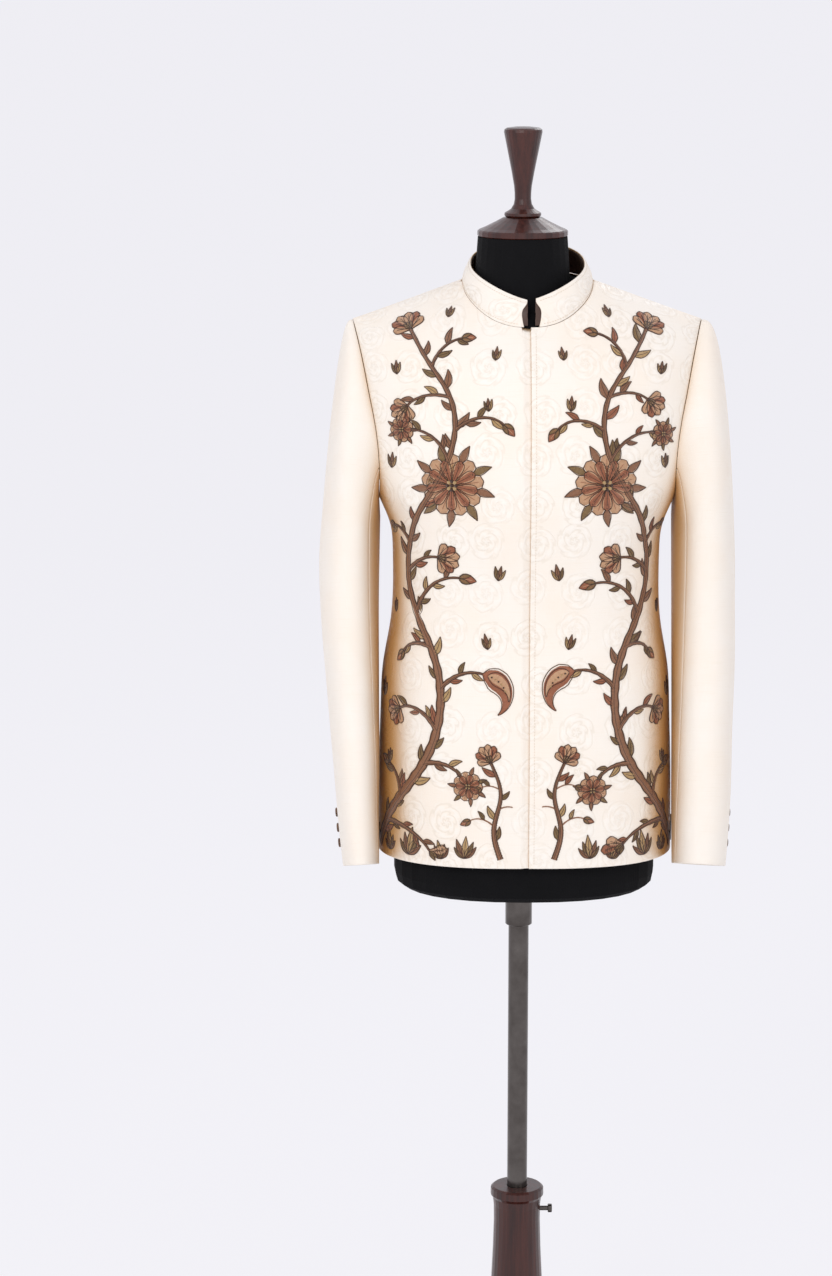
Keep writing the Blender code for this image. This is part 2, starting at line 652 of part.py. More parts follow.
def make_button(name, sleeve, side, z, parent):
    """A domed button that stands on the outer face of the cuff."""
    v = (z - sleeve.cuff_z) / (BICEPS_Z - sleeve.cuff_z)
    flip = np.array([side, 1.0, 1.0])
    point, normal = sleeve.surface(BUTTON_LINE, v) * flip, sleeve.normal(BUTTON_LINE, v) * flip
    profile = [
        (0.0, BUTTON_GAP),
        (0.45 * BUTTON_RADIUS, BUTTON_GAP),
        (0.93 * BUTTON_RADIUS, 0.35 * BUTTON_THICK),
        (BUTTON_RADIUS, 0.55 * BUTTON_THICK),
        (0.86 * BUTTON_RADIUS, 0.92 * BUTTON_THICK),
        (0.5 * BUTTON_RADIUS, BUTTON_THICK),
        (0.0, BUTTON_THICK),
    ]
    button = turned(name, profile, "button", parent, segments=12)
    button.rotation_mode = "QUATERNION"
    button.rotation_quaternion = Vector(normal).to_track_quat("Z", "Y")
    button.location = Vector(point) + Vector((FIGURE_X, 0.0, 0.0))
    return button


def make_sleeves(parent):
    for name, side, rings, lean in (
        ("left", 1, VIEWER_RIGHT_SLEEVE, VIEWER_RIGHT_LEAN),
        ("right", -1, VIEWER_LEFT_SLEEVE, VIEWER_LEFT_LEAN),
    ):
        sleeve = Sleeve(rings, lean)
        for part in ("top", "under"):
            sheet = sleeve.strip(sleeve_stops(part))
            sheet = sheet if side > 0 else sheet.mirrored()
            solid(f"sleeve_{name}_{part}", *sheet.thickened(WALL), "brocade", parent, shift=FIGURE_X)
        for k in range(BUTTON_COUNT):
            make_button(f"button_{name}_{k + 1}", sleeve, side, BUTTON_TOP_Z - k * BUTTON_PITCH, parent)


# Dress form
def form_point(u, t):
    """The dress form under the jacket: the body surface moved in, a little further at the shoulder's end."""
    if u >= 1.0 and abs(t - RIDGE) > 1e-9:
        return (form_side(t) + form_side(2 * RIDGE - t)) / 2
    return form_side(t, u)


def form_side(t, u=1.0):
    height = min(t, 2 * RIDGE - t)
    ease = max(0.0, (u - 0.8) / 0.2) ** 2 * max(0.0, (height - UNDERARM) / (RIDGE - UNDERARM))
    return body(u, t) - (section(t)[7] + FORM_SHOULDER_END * ease) * body_normal(min(u, 0.985), t)


def torso_quarter(front):
    """A quarter of the torso on the +X side, from the middle of its flat bottom up to the ridge of the shoulder."""
    sheet, rows = Sheet(), []
    columns = [k / FORM_COLUMNS for k in range(FORM_COLUMNS + 1)]
    hem = [form_point(u, 0.0 if front else 2 * RIDGE) for u in columns]
    middle = (form_point(0.0, 0.0)[1] + form_point(0.0, 2 * RIDGE)[1]) / 2
    for share, rise in ((0.0, 0.0), (0.93, 0.0), (0.985, 0.006), (1.0, 0.018)):
        rows.append(
            [
                sheet.add((p[0] * share, middle + (p[1] - middle) * share, FORM_BOTTOM_Z + rise), (0, 0, 1))
                for p in hem
            ]
        )
    for k in range(FORM_ROWS + 1):
        height = RIDGE * k / FORM_ROWS
        t = height if front else 2 * RIDGE - height
        rows.append([sheet.add(form_point(u, t), (0, 0, 1)) for u in columns])
    sheet.grid(rows if front else [row[::-1] for row in rows])
    return sheet


def make_form(parent):
    """The torso with its neck, in one piece."""
    half = torso_quarter(front=True).joined(torso_quarter(front=False))
    whole = half.joined(half.mirrored())
    form = solid("form", whole.points, whole.faces, "form_cover", parent, sharp=60, shift=FIGURE_X)
    # The neck stands on the stand's axis. share: how much of the section is the neck's, and the rest is round.
    neck, rows = Sheet(), []
    turns = [2 * pi * k / TURNED_SEGMENTS for k in range(TURNED_SEGMENTS + 1)]
    foot_z = neckline_z(0.0)[0] - 0.06
    for z, share, size in (
        (foot_z, 1.0, 0.0),
        (foot_z, 1.0, 1.0),
        (1.462, 1.0, 1.0),
        (1.492, 0.7, 1.0),
        (FORM_NECK_TOP_Z, 0.0, 1.0),
        (FORM_NECK_TOP_Z, 0.0, 0.0),
    ):
        row = []
        for a in turns:
            x, y = neck_plan(a, FORM_NECK_HALF_WIDTH, FORM_NECK_FRONT, FORM_NECK_BACK)
            x = x * share + FORM_NECK_TOP_RADIUS * sin(a) * (1 - share)
            y = y * share - FORM_NECK_TOP_RADIUS * cos(a) * (1 - share)
            row.append(neck.add((x * size, y * size, z), (0, 0, 1)))
        rows.append(row)
    neck.grid(rows)
    neck = neck.joined(Sheet())
    tube = solid("neck_tool", neck.points, neck.faces, "form_cover")
    combine(form, tube, "UNION")
    form.data.shade_smooth()
    form.data.set_sharp_from_angle(angle=radians(50))
    return form


def combine(target, tool, operation):
    """Applies a Boolean to the target's mesh and removes the tool."""
    bpy.context.view_layer.update()
    change = target.modifiers.new("combine", "BOOLEAN")
    change.operation, change.solver, change.object = operation, "EXACT", tool
    evaluated = target.evaluated_get(bpy.context.evaluated_depsgraph_get())
    result = bpy.data.meshes.new_from_object(evaluated)
    target.modifiers.clear()
    target.data = result
    bpy.data.objects.remove(tool)


# Turned and round pieces
def turned(name, profile, material_name, parent=None, segments=TURNED_SEGMENTS, origin=(0.0, 0.0, 0.0)):
    """A piece turned about its own Z axis. The profile is (radius, z) from one end of the outline to the other."""
    vertices, rings, faces = [], [], []
    for radius, z in profile:
        if radius == 0.0:
            rings.append([len(vertices)])
            vertices.append((0.0, 0.0, z))
            continue
        rings.append(list(range(len(vertices), len(vertices) + segments)))
        turns = [2 * pi * k / segments for k in range(segments)]
        vertices += [(radius * cos(a), radius * sin(a), z) for a in turns]
    closed = profile[0][0] > 0.0
    for low, high in zip(rings, rings[1:] + rings[:1] if closed else rings[1:]):
        for k in range(segments):
            corners = [low[k % len(low)], low[(k + 1) % len(low)], high[(k + 1) % len(high)], high[k % len(high)]]
            faces.append(tuple(dict.fromkeys(corners)))
    made = solid(name, vertices, faces, material_name, parent)
    made.location = origin
    return made


def make_neck_and_stand(stand, mast, form_frame, clamp):
    low = FORM_NECK_TOP_Z + PART_GAP
    cap = [
        (0.0, low),
        (0.0525, low),
        (0.0540, low + 0.0012),
        (0.0540, low + 0.0062),
        (0.0525, low + 0.0078),
        (0.0460, low + 0.0105),
        (0.0320, low + 0.0175),
        (0.0235, low + 0.0222),
        (0.0, low + 0.0222),
    ]
    turned("neck_cap", cap, "polished_wood", form_frame)
    low = cap[-1][1] + PART_GAP
    finial = [
        (0.0, low),
        (0.0200, low),
        (0.0220, low + 0.0022),
        (0.0218, low + 0.0052),
        (0.0170, low + 0.0080),
        (0.0140, low + 0.0100),
        (0.0108, low + 0.0155),
        (0.0098, low + 0.0215),
        (0.0099, low + 0.0290),
        (0.0106, low + 0.0370),
        (0.0134, low + 0.0530),
        (0.0168, low + 0.0700),
        (0.0212, low + 0.0920),
        (0.0229, low + 0.1005),
        (0.0224, low + 0.1035),
        (0.0195, low + 0.1053),
        (0.0100, low + 0.1065),
        (0.0, low + 0.1068),
    ]
    turned("finial", finial, "polished_wood", form_frame)
    top = FORM_BOTTOM_Z - PART_GAP
    seat = top - FLANGE_THICK
    socket = [
        (0.0, seat),
        (BORE_RADIUS, seat),
        (BORE_RADIUS, SOCKET_BOTTOM_Z),
        (SOCKET_RADIUS - 0.0006, SOCKET_BOTTOM_Z),
        (SOCKET_RADIUS, SOCKET_BOTTOM_Z + 0.0006),
        (SOCKET_RADIUS, seat - 0.006),
        (SOCKET_RADIUS + 0.0035, seat - 0.001),
        (FLANGE_RADIUS - 0.002, seat),
        (FLANGE_RADIUS, seat + 0.001),
        (FLANGE_RADIUS, top),
        (0.0, top),
    ]
    turned("form_socket", socket, "chrome", form_frame)
    pole_top = seat - PART_GAP
    pole = [
        (0.0, POLE_BOTTOM_Z),
        (POLE_RADIUS - 0.001, POLE_BOTTOM_Z),
        (POLE_RADIUS, POLE_BOTTOM_Z + 0.001),
        (POLE_RADIUS, pole_top - 0.001),
        (POLE_RADIUS - 0.001, pole_top),
        (0.0, pole_top),
    ]
    turned("pole", pole, "chrome", mast)
    foot = BASE_THICK + PART_GAP
    column = [
        (0.0, BORE_BOTTOM_Z),
        (BORE_RADIUS, BORE_BOTTOM_Z),
        (BORE_RADIUS, COLUMN_TOP_Z),
        (0.0300, COLUMN_TOP_Z),
        (0.0330, COLUMN_TOP_Z - 0.0025),
        (0.0332, COLUMN_TOP_Z - 0.0110),
        (0.0305, COLUMN_TOP_Z - 0.0150),
        (0.0292, COLUMN_TOP_Z - 0.0250),
        (0.0290, COLUMN_TOP_Z - 0.0450),
        (0.0300, COLUMN_TOP_Z - 0.0800),
        (0.0320, COLUMN_TOP_Z - 0.1220),
        (0.0335, 0.160),
        (0.0325, 0.110),
        (0.0300, 0.080),
        (0.0340, 0.066),
        (0.0400, 0.056),
        (0.0410, 0.050),
        (0.0400, 0.046),
        (0.0520, 0.040),
        (0.0560, 0.034),
        (0.0560, foot),
        (0.0, foot),
    ]
    column = turned("column", column, "polished_wood", stand)
    bore = [(0.0, 0.0), (SCREW_HOLE_RADIUS, 0.0), (SCREW_HOLE_RADIUS, 0.06), (0.0, 0.06)]
    hole = turned("hole_tool", bore, "polished_wood", segments=16)
    hole.rotation_euler, hole.location = (0.0, pi / 2, 0.0), (0.006, 0.0, SCREW_Z)
    combine(column, hole, "DIFFERENCE")
    base = [
        (0.0, 0.0),
        (BASE_RADIUS - 0.005, 0.0),
        (BASE_RADIUS, 0.004),
        (BASE_RADIUS, 0.013),
        (BASE_RADIUS - 0.004, 0.0175),
        (BASE_RADIUS - 0.014, 0.0200),
        (BASE_RADIUS - 0.020, 0.0215),
        (BASE_RADIUS - 0.050, 0.0262),
        (0.090, 0.0290),
        (0.065, BASE_THICK),
        (0.0, BASE_THICK),
    ]
    turned("base", base, "polished_wood", stand, segments=40)
    # The screw is turned along its own Z and laid along +X; its tip stops just short of the pole.
    tip = POLE_RADIUS + PART_GAP
    screw = [
        (0.0, tip),
        (SCREW_RADIUS, tip),
        (SCREW_RADIUS, 0.0385),
        (0.0050, 0.0388),
        (0.0055, 0.0394),
        (0.0055, 0.0434),
        (0.0048, 0.0440),
        (0.0, 0.0442),
    ]
    screw = turned("thumbscrew", screw, "chrome", clamp, segments=16)
    screw.rotation_euler = (0.0, pi / 2, 0.0)


def frame_at(name, location=(0.0, 0.0, 0.0), parent=None):
    made = bpy.data.objects.new(name, None)
    bpy.context.scene.collection.objects.link(made)
    made.location, made.parent = location, parent
    return made


def main():
    for left_over in list(bpy.data.objects):
        bpy.data.objects.remove(left_over)
    stand = frame_at("stand_frame")
    mast = frame_at("mast_frame", parent=stand)
    form_frame = frame_at("form_frame", parent=mast)
    clamp = frame_at("clamp_frame", (0.0, 0.0, SCREW_Z), parent=stand)
    make_body_panels(form_frame)
    make_collar(form_frame)
    make_sleeves(form_frame)
    make_form(form_frame)
    make_neck_and_stand(stand, mast, form_frame, clamp)


main()
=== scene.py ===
"""Looks of the bandhgala jacket on its dress form.

Metres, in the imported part's frame: +Z up, the jacket's front faces -Y and +X is the viewer's right. The cloth is
rebuilt as fine shells from the part's own named sections, with rounded edges, creases, embroidery and stitches.
"""

from collections import namedtuple
from math import cos, pi, radians, sin

import bpy
import numpy as np
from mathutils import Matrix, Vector


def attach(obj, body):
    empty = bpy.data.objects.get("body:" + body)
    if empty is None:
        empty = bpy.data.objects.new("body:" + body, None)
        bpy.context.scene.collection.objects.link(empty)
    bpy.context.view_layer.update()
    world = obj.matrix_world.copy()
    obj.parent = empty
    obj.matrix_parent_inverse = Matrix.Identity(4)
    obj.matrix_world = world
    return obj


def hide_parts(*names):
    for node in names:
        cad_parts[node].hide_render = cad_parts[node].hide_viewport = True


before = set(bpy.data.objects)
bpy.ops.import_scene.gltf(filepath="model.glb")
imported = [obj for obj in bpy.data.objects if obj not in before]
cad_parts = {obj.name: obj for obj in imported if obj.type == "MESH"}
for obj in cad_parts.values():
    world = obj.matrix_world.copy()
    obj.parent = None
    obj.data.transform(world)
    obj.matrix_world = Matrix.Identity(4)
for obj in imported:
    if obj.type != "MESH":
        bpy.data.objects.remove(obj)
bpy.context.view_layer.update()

BODY = "dressed_form"

FIGURE_X = 0.006
WALL = 0.0018
LINING_WALL = 0.0010
SEAM_GAP = 0.0002
LAYER_GAP = 0.0006
CLOSING_X = 0.002
LAP_WIDTH = 0.028
DIP_START_X = 0.0085

NECK_HALF_WIDTH = 0.078
NECK_FRONT = 0.075
NECK_BACK = 0.070
NECK_ROUND = 2.2
COLLAR_TOP_HALF_WIDTH = 0.0685
COLLAR_TOP_FRONT = 0.066
COLLAR_TOP_BACK = 0.061
COLLAR_TOP_SIDE_Z = 1.4976
COLLAR_TOP_FRONT_RISE = 0.58
COLLAR_TOP_BACK_RISE = 0.32
COLLAR_TOP_CORNER_RISE = 0.0099
COLLAR_BULGE = 0.0022
NOTCH_CENTRE_X = 0.003
LINING_SHOWS = 0.0066
LINING_LEAST_GAP = 0.0044
LINING_TOP_DROP = 0.04

BICEPS_Z = 1.19
HEAD_ROUND = 3.0
VIEWER_RIGHT_LEAN = 0.058
VIEWER_LEFT_LEAN = 0.085
TOP_SLEEVE_BACK = radians(-60.47)
TOP_SLEEVE_FRONT = radians(128.58)
SEAM_ANGLE = 0.004
CUFF_TWIST = radians(30)
CUFF_SIDE_TILT = 0.22
SLEEVE_ROUND = 2.2

BUTTON_LINE = radians(-16)
BUTTON_TOP_Z = 0.8345
BUTTON_PITCH = 0.0175
BUTTON_COUNT = 3
BUTTON_GAP = 0.0004

Level = namedtuple(
    "Level", "z_side x_side y_side z_front y_front z_back y_back round_front round_back drop clear"
)
LEVELS = [
    Level(0.7810, 0.1800, 0.004, 0.7845, -0.130, 0.7800, 0.119, 2.30, 2.35, 1.5, 0.0200),
    Level(0.8400, 0.1795, 0.004, 0.8420, -0.130, 0.8400, 0.122, 2.30, 2.35, 1.5, 0.0190),
    Level(0.9000, 0.1783, 0.004, 0.9000, -0.128, 0.9000, 0.121, 2.30, 2.35, 1.5, 0.0170),
    Level(0.9600, 0.1762, 0.004, 0.9600, -0.123, 0.9600, 0.114, 2.30, 2.30, 1.5, 0.0140),
    Level(1.0100, 0.1732, 0.003, 1.0100, -0.118, 1.0100, 0.105, 2.30, 2.25, 1.5, 0.0120),
    Level(1.0600, 0.1645, 0.002, 1.0600, -0.114, 1.0600, 0.097, 2.30, 2.20, 1.5, 0.0110),
    Level(1.1100, 0.1610, 0.001, 1.1100, -0.115, 1.1100, 0.096, 2.30, 2.20, 1.5, 0.0100),
    Level(1.1500, 0.1612, 0.001, 1.1500, -0.120, 1.1500, 0.101, 2.30, 2.25, 1.5, 0.0090),
    Level(1.1850, 0.1648, 0.000, 1.1850, -0.127, 1.1850, 0.110, 2.30, 2.30, 1.5, 0.0075),
    Level(1.2165, 0.1776, 0.000, 1.2165, -0.1315, 1.2165, 0.118, 2.30, 2.30, 1.5, 0.0065),
    Level(1.2500, 0.1890, 0.000, 1.2530, -0.1325, 1.2550, 0.1235, 2.30, 2.30, 1.5, 0.0062),
    Level(1.2900, 0.1975, 0.001, 1.2980, -0.1285, 1.3050, 0.1255, 2.30, 2.30, 1.5, 0.0060),
    Level(1.3300, 0.2030, 0.003, 1.3430, -0.1190, 1.3600, 0.1200, 2.35, 2.35, 1.5, 0.0058),
    Level(1.3700, 0.2065, 0.006, 1.3880, -0.1015, 1.4150, 0.1065, 2.40, 2.40, 1.5, 0.0056),
    Level(1.4015, 0.2090, 0.008, 1.4279, -0.0750, 1.4600, 0.0890, 2.30, 2.30, 1.4, 0.0052),
    Level(1.4155, 0.2100, 0.009, 1.4600, -0.0500, 1.4870, 0.0705, 2.15, 2.15, 1.25, 0.0042),
    Level(1.4245, 0.2104, 0.010, 1.4865, -0.0240, 1.5000, 0.0350, 2.05, 2.05, 1.08, 0.0030),
    Level(1.4288, 0.2106, 0.010, 1.5025, 0.0000, 1.5025, 0.0000, 2.00, 2.00, 1.00, 0.0025),
]
UNDERARM_LEVEL = 9

ArmholePoint = namedtuple("ArmholePoint", "z x_front x_back")
ARMHOLE = [
    ArmholePoint(1.2165, 0.1776, 0.1776),
    ArmholePoint(1.2350, 0.1768, 0.1775),
    ArmholePoint(1.2544, 0.1766, 0.1780),
    ArmholePoint(1.2770, 0.1776, 0.1798),
    ArmholePoint(1.3107, 0.1816, 0.1840),
    ArmholePoint(1.3441, 0.1882, 0.1900),
    ArmholePoint(1.3791, 0.1954, 0.1965),
    ArmholePoint(1.4060, 0.2020, 0.2026),
    ArmholePoint(1.4292, 0.2090, 0.2090),
]

SleeveRing = namedtuple("SleeveRing", "z x_in x_out y_mid half_depth tilt")
VIEWER_RIGHT_SLEEVE = [
    SleeveRing(0.7720, 0.1780, 0.2425, -0.0630, 0.0590, 0.27),
    SleeveRing(0.8050, 0.1775, 0.2450, -0.0590, 0.0605, 0.20),
    SleeveRing(0.8450, 0.1770, 0.2475, -0.0540, 0.0625, 0.12),
    SleeveRing(0.8900, 0.1770, 0.2490, -0.0470, 0.0650, 0.06),
    SleeveRing(0.9400, 0.1772, 0.2500, -0.0370, 0.0680, 0.03),
    SleeveRing(0.9900, 0.1773, 0.2522, -0.0260, 0.0715, 0.01),
    SleeveRing(1.0400, 0.1773, 0.2534, -0.0150, 0.0750, 0.00),
    SleeveRing(1.0900, 0.1772, 0.2530, -0.0060, 0.0780, 0.00),
    SleeveRing(1.1400, 0.1768, 0.2528, 0.0000, 0.0805, 0.00),
    SleeveRing(1.1900, 0.1762, 0.2508, 0.0030, 0.0825, 0.00),
]
VIEWER_LEFT_SLEEVE = [
    SleeveRing(0.7720, 0.1778, 0.2215, -0.0650, 0.0590, 0.27),
    SleeveRing(0.8050, 0.1778, 0.2252, -0.0610, 0.0605, 0.20),
    SleeveRing(0.8450, 0.1778, 0.2290, -0.0540, 0.0630, 0.12),
    SleeveRing(0.8900, 0.1772, 0.2327, -0.0470, 0.0655, 0.06),
    SleeveRing(0.9400, 0.1775, 0.2372, -0.0370, 0.0685, 0.03),
    SleeveRing(0.9900, 0.1778, 0.2415, -0.0260, 0.0715, 0.01),
    SleeveRing(1.0400, 0.1780, 0.2460, -0.0150, 0.0750, 0.00),
    SleeveRing(1.0900, 0.1780, 0.2492, -0.0060, 0.0780, 0.00),
    SleeveRing(1.1400, 0.1772, 0.2502, 0.0000, 0.0805, 0.00),
    SleeveRing(1.1900, 0.1762, 0.2468, 0.0030, 0.0825, 0.00),
]

NotchPoint = namedtuple("NotchPoint", "height half_gap")
NOTCH = [
    NotchPoint(0.00, 0.0090),
    NotchPoint(0.35, 0.0112),
    NotchPoint(0.65, 0.0098),
    NotchPoint(0.88, 0.0052),
    NotchPoint(1.00, 0.0050),
]


def spline(stations, rows):
    """A natural cubic curve through the rows of numbers at the stations, as a function of an array of stations."""
    t = np.asarray(stations, float)
    y = np.asarray(rows, float)
    h = np.diff(t)
    matrix = np.eye(len(t))
    right = np.zeros_like(y)
    for i in range(1, len(t) - 1):
        matrix[i, i - 1 : i + 2] = h[i - 1], 2 * (h[i - 1] + h[i]), h[i]
        right[i] = 6 * ((y[i + 1] - y[i]) / h[i] - (y[i] - y[i - 1]) / h[i - 1])
    bend = np.linalg.solve(matrix, right)

    def at(s):
        s = np.asarray(s, float)
        i = np.clip(np.searchsorted(t, s) - 1, 0, len(t) - 2)
        a, b, gap = (t[i + 1] - s)[..., None], (s - t[i])[..., None], h[i][..., None]
        return (
            (bend[i] * a**3 + bend[i + 1] * b**3) / (6 * gap)
            + (y[i] / gap - bend[i] * gap / 6) * a
            + (y[i + 1] / gap - bend[i + 1] * gap / 6) * b
        )

    return at


def bisect(rising, low, high, steps=36):
    """Where a rising function of an array passes zero."""
    low, high = (np.array(x, float) for x in np.broadcast_arrays(low, high))
    for _ in range(steps):
        middle = (low + high) / 2
        below = rising(middle) < 0
        low, high = np.where(below, middle, low), np.where(below, high, middle)
    return (low + high) / 2


def smooth(x):
    x = np.clip(x, 0.0, 1.0)
    return x * x * (3 - 2 * x)


def signed_power(x, power):
    return np.sign(x) * np.abs(x) ** power


def level_distance(a, b):
    side = np.hypot(np.hypot(b.x_side - a.x_side, b.z_side - a.z_side), b.y_side - a.y_side)
    front = np.hypot(b.y_front - a.y_front, b.z_front - a.z_front)
    back = np.hypot(b.y_back - a.y_back, b.z_back - a.z_back)
    return (side + front + back) / 3


STATIONS = [0.0]
for below, above in zip(LEVELS, LEVELS[1:]):
    STATIONS.append(STATIONS[-1] + level_distance(below, above))
RIDGE = STATIONS[-1]
UNDERARM = STATIONS[UNDERARM_LEVEL]
FRONT_CHAIN = [(w.z_side, w.x_side, w.y_side, w.z_front, w.y_front, w.round_front, w.drop) for w in LEVELS]
BACK_CHAIN = [
    (w.z_side, w.x_side, w.y_side, w.z_back, w.y_back, w.round_back, w.drop) for w in LEVELS[-2::-1]
]
section = spline(STATIONS + [2 * RIDGE - s for s in STATIONS[-2::-1]], FRONT_CHAIN + BACK_CHAIN)
armhole_x = spline([p.z for p in ARMHOLE], [(p.x_front, p.x_back) for p in ARMHOLE])


def body(u, t):
    """Points of the body surface: t from the front hem over the shoulder to the back hem, u from middle to side."""
    u, t = np.broadcast_arrays(np.asarray(u, float), np.asarray(t, float))
    z_side, x_side, y_side, z_mid, y_mid, rounding, drop = np.moveaxis(section(t), -1, 0)
    turn = np.minimum(np.abs(u), 1.0) * pi / 2
    across = np.sin(turn) ** (2 / rounding)
    deep = 1 - np.maximum(np.cos(turn), 0.0) ** (2 / rounding)
    x = x_side * across * np.where(u >= 0, 1.0, -1.0)
    return np.stack([x, y_mid + (y_side - y_mid) * deep, z_mid + (z_side - z_mid) * across**drop], -1)


def unit(v):
    return v / np.maximum(np.linalg.norm(v, axis=-1, keepdims=True), 1e-12)


def body_normal(u, t, step=1e-3):
    along_u = body(np.minimum(u + step, 1.0), t) - body(np.maximum(u - step, -1.0), t)
    return unit(np.cross(along_u, body(u, t + step) - body(u, t - step)))


def u_at_x(x, t):
    x, t = np.broadcast_arrays(np.asarray(x, float), np.asarray(t, float))
    u = bisect(lambda u: body(u, t)[..., 0] - np.abs(x), np.zeros_like(t), np.ones_like(t))
    return np.where(x >= 0, u, -u)


def u_at_armhole(t):
    """The column where row t ends: the side line up to the underarm, then the armhole seam."""
    t = np.asarray(t, float)
    back = t > RIDGE
    height = np.where(back, 2 * RIDGE - t, t)

    def beyond(u):
        p = body(u, t)
        x = armhole_x(p[..., 2])
        return p[..., 0] - np.where(back, x[..., 1], x[..., 0])

    found = bisect(beyond, np.full_like(t, 0.5), np.ones_like(t))
    return np.where((height <= UNDERARM) | (beyond(np.ones_like(t)) <= 0), 1.0, found)


def neck_plan(angle, half_width=NECK_HALF_WIDTH, front=NECK_FRONT, back=NECK_BACK):
    """Points of the neckline in plan. Angle 0 is the middle of the front, and pi the middle of the back."""
    s, c = np.sin(angle), np.cos(angle)
    x = half_width * signed_power(s, 2 / NECK_ROUND)
    return x, np.where(c >= 0, -front, back) * np.abs(c) ** (2 / NECK_ROUND)


def body_at_plan(x, y):
    """The column and row of the upper body surface at the point (x, y) of the plan."""
    x, y = np.broadcast_arrays(np.abs(np.asarray(x, float)), np.asarray(y, float))
    low, high = np.full_like(x, UNDERARM), np.full_like(x, 2 * RIDGE - UNDERARM)
    t = bisect(lambda t: body(u_at_x(x, t), t)[..., 1] - y, low, high)
    return u_at_x(x, t), t


NECK_FRONT_ROW = float(body_at_plan(0.0, -NECK_FRONT)[1])
NECK_BACK_ROW = float(body_at_plan(0.0, NECK_BACK)[1])

# Creases. They are soft troughs and ridges between two points of space, shared by every piece near them, so that
# what lies on the cloth follows it. depth is positive for a ridge, and width the distance where it has faded out.
Crease = namedtuple("Crease", "x1 y1 z1 x2 y2 z2 bow width depth")
CREASES = [
    # Body, front: long soft folds from under the arms, and the fall of the skirt
    Crease(0.158, -0.060, 1.236, 0.118, -0.112, 1.120, 0.010, 0.020, -0.0014),
    Crease(-0.160, -0.058, 1.228, -0.122, -0.110, 1.138, -0.008, 0.018, -0.0012),
    Crease(0.150, -0.070, 1.262, 0.126, -0.110, 1.190, 0.006, 0.016, 0.0009),
    Crease(-0.152, -0.068, 1.258, -0.124, -0.112, 1.180, -0.005, 0.017, 0.0010),
    Crease(0.152, -0.052, 1.108, 0.098, -0.108, 1.086, 0.004, 0.017, -0.0010),
    Crease(-0.154, -0.050, 1.098, -0.104, -0.106, 1.080, -0.004, 0.019, -0.0012),
    Crease(0.132, -0.098, 0.982, 0.142, -0.096, 0.790, 0.008, 0.026, 0.0012),
    Crease(-0.128, -0.100, 0.960, -0.138, -0.100, 0.788, -0.007, 0.024, 0.0013),
    Crease(0.078, -0.124, 0.900, 0.084, -0.128, 0.786, 0.004, 0.024, -0.0009),
    Crease(-0.072, -0.124, 0.915, -0.080, -0.128, 0.786, -0.005, 0.027, -0.0010),
    # Body, back: the hollow of the waist and the blades
    Crease(0.150, 0.050, 1.240, 0.100, 0.104, 1.125, 0.010, 0.021, -0.0015),
    Crease(-0.152, 0.048, 1.246, -0.106, 0.104, 1.118, -0.012, 0.020, -0.0013),
    Crease(0.126, 0.070, 1.120, 0.046, 0.098, 1.082, 0.006, 0.018, -0.0013),
    Crease(-0.130, 0.068, 1.108, -0.052, 0.098, 1.076, -0.005, 0.020, -0.0014),
    Crease(0.118, 0.076, 1.068, 0.060, 0.096, 1.052, 0.003, 0.015, 0.0009),
    Crease(-0.112, 0.080, 1.060, -0.050, 0.097, 1.046, -0.004, 0.016, 0.0010),
    Crease(0.100, 0.098, 0.960, 0.108, 0.106, 0.784, 0.007, 0.027, 0.0014),
    Crease(-0.096, 0.100, 0.975, -0.112, 0.104, 0.784, -0.009, 0.025, 0.0012),
    Crease(0.030, 0.112, 0.930, 0.036, 0.120, 0.784, 0.004, 0.024, -0.0010),
    Crease(-0.040, 0.110, 0.905, -0.044, 0.120, 0.784, -0.004, 0.026, -0.0011),
    # Sleeves: the crook of the elbow, the upper arm and the head
    Crease(0.228, -0.078, 1.062, 0.186, -0.072, 1.022, 0.006, 0.015, -0.0013),
    Crease(0.236, -0.076, 1.036, 0.190, -0.080, 1.004, 0.005, 0.014, 0.0008),
    Crease(0.232, -0.082, 1.004, 0.186, -0.078, 0.978, 0.004, 0.016, -0.0011),
    Crease(-0.222, -0.080, 1.058, -0.184, -0.074, 1.024, -0.005, 0.015, -0.0012),
    Crease(-0.230, -0.078, 1.030, -0.188, -0.080, 0.998, -0.004, 0.014, 0.0008),
    Crease(-0.226, -0.084, 0.996, -0.186, -0.082, 0.972, -0.004, 0.017, -0.0012),
    Crease(0.246, -0.030, 1.170, 0.212, -0.076, 1.120, 0.006, 0.020, -0.0010),
    Crease(-0.242, -0.030, 1.160, -0.210, -0.074, 1.116, -0.006, 0.020, -0.0011),
    Crease(0.240, 0.045, 1.090, 0.190, 0.056, 1.040, 0.006, 0.017, -0.0013),
    Crease(0.236, 0.036, 1.046, 0.188, 0.048, 1.010, 0.005, 0.015, 0.0009),
    Crease(0.234, 0.024, 0.996, 0.190, 0.036, 0.968, 0.004, 0.018, -0.0012),
    Crease(-0.236, 0.046, 1.084, -0.190, 0.056, 1.046, -0.006, 0.016, -0.0012),
    Crease(-0.232, 0.034, 1.038, -0.188, 0.046, 1.004, -0.005, 0.015, 0.0009),
    Crease(-0.228, 0.022, 0.990, -0.190, 0.034, 0.964, -0.004, 0.018, -0.0013),
]


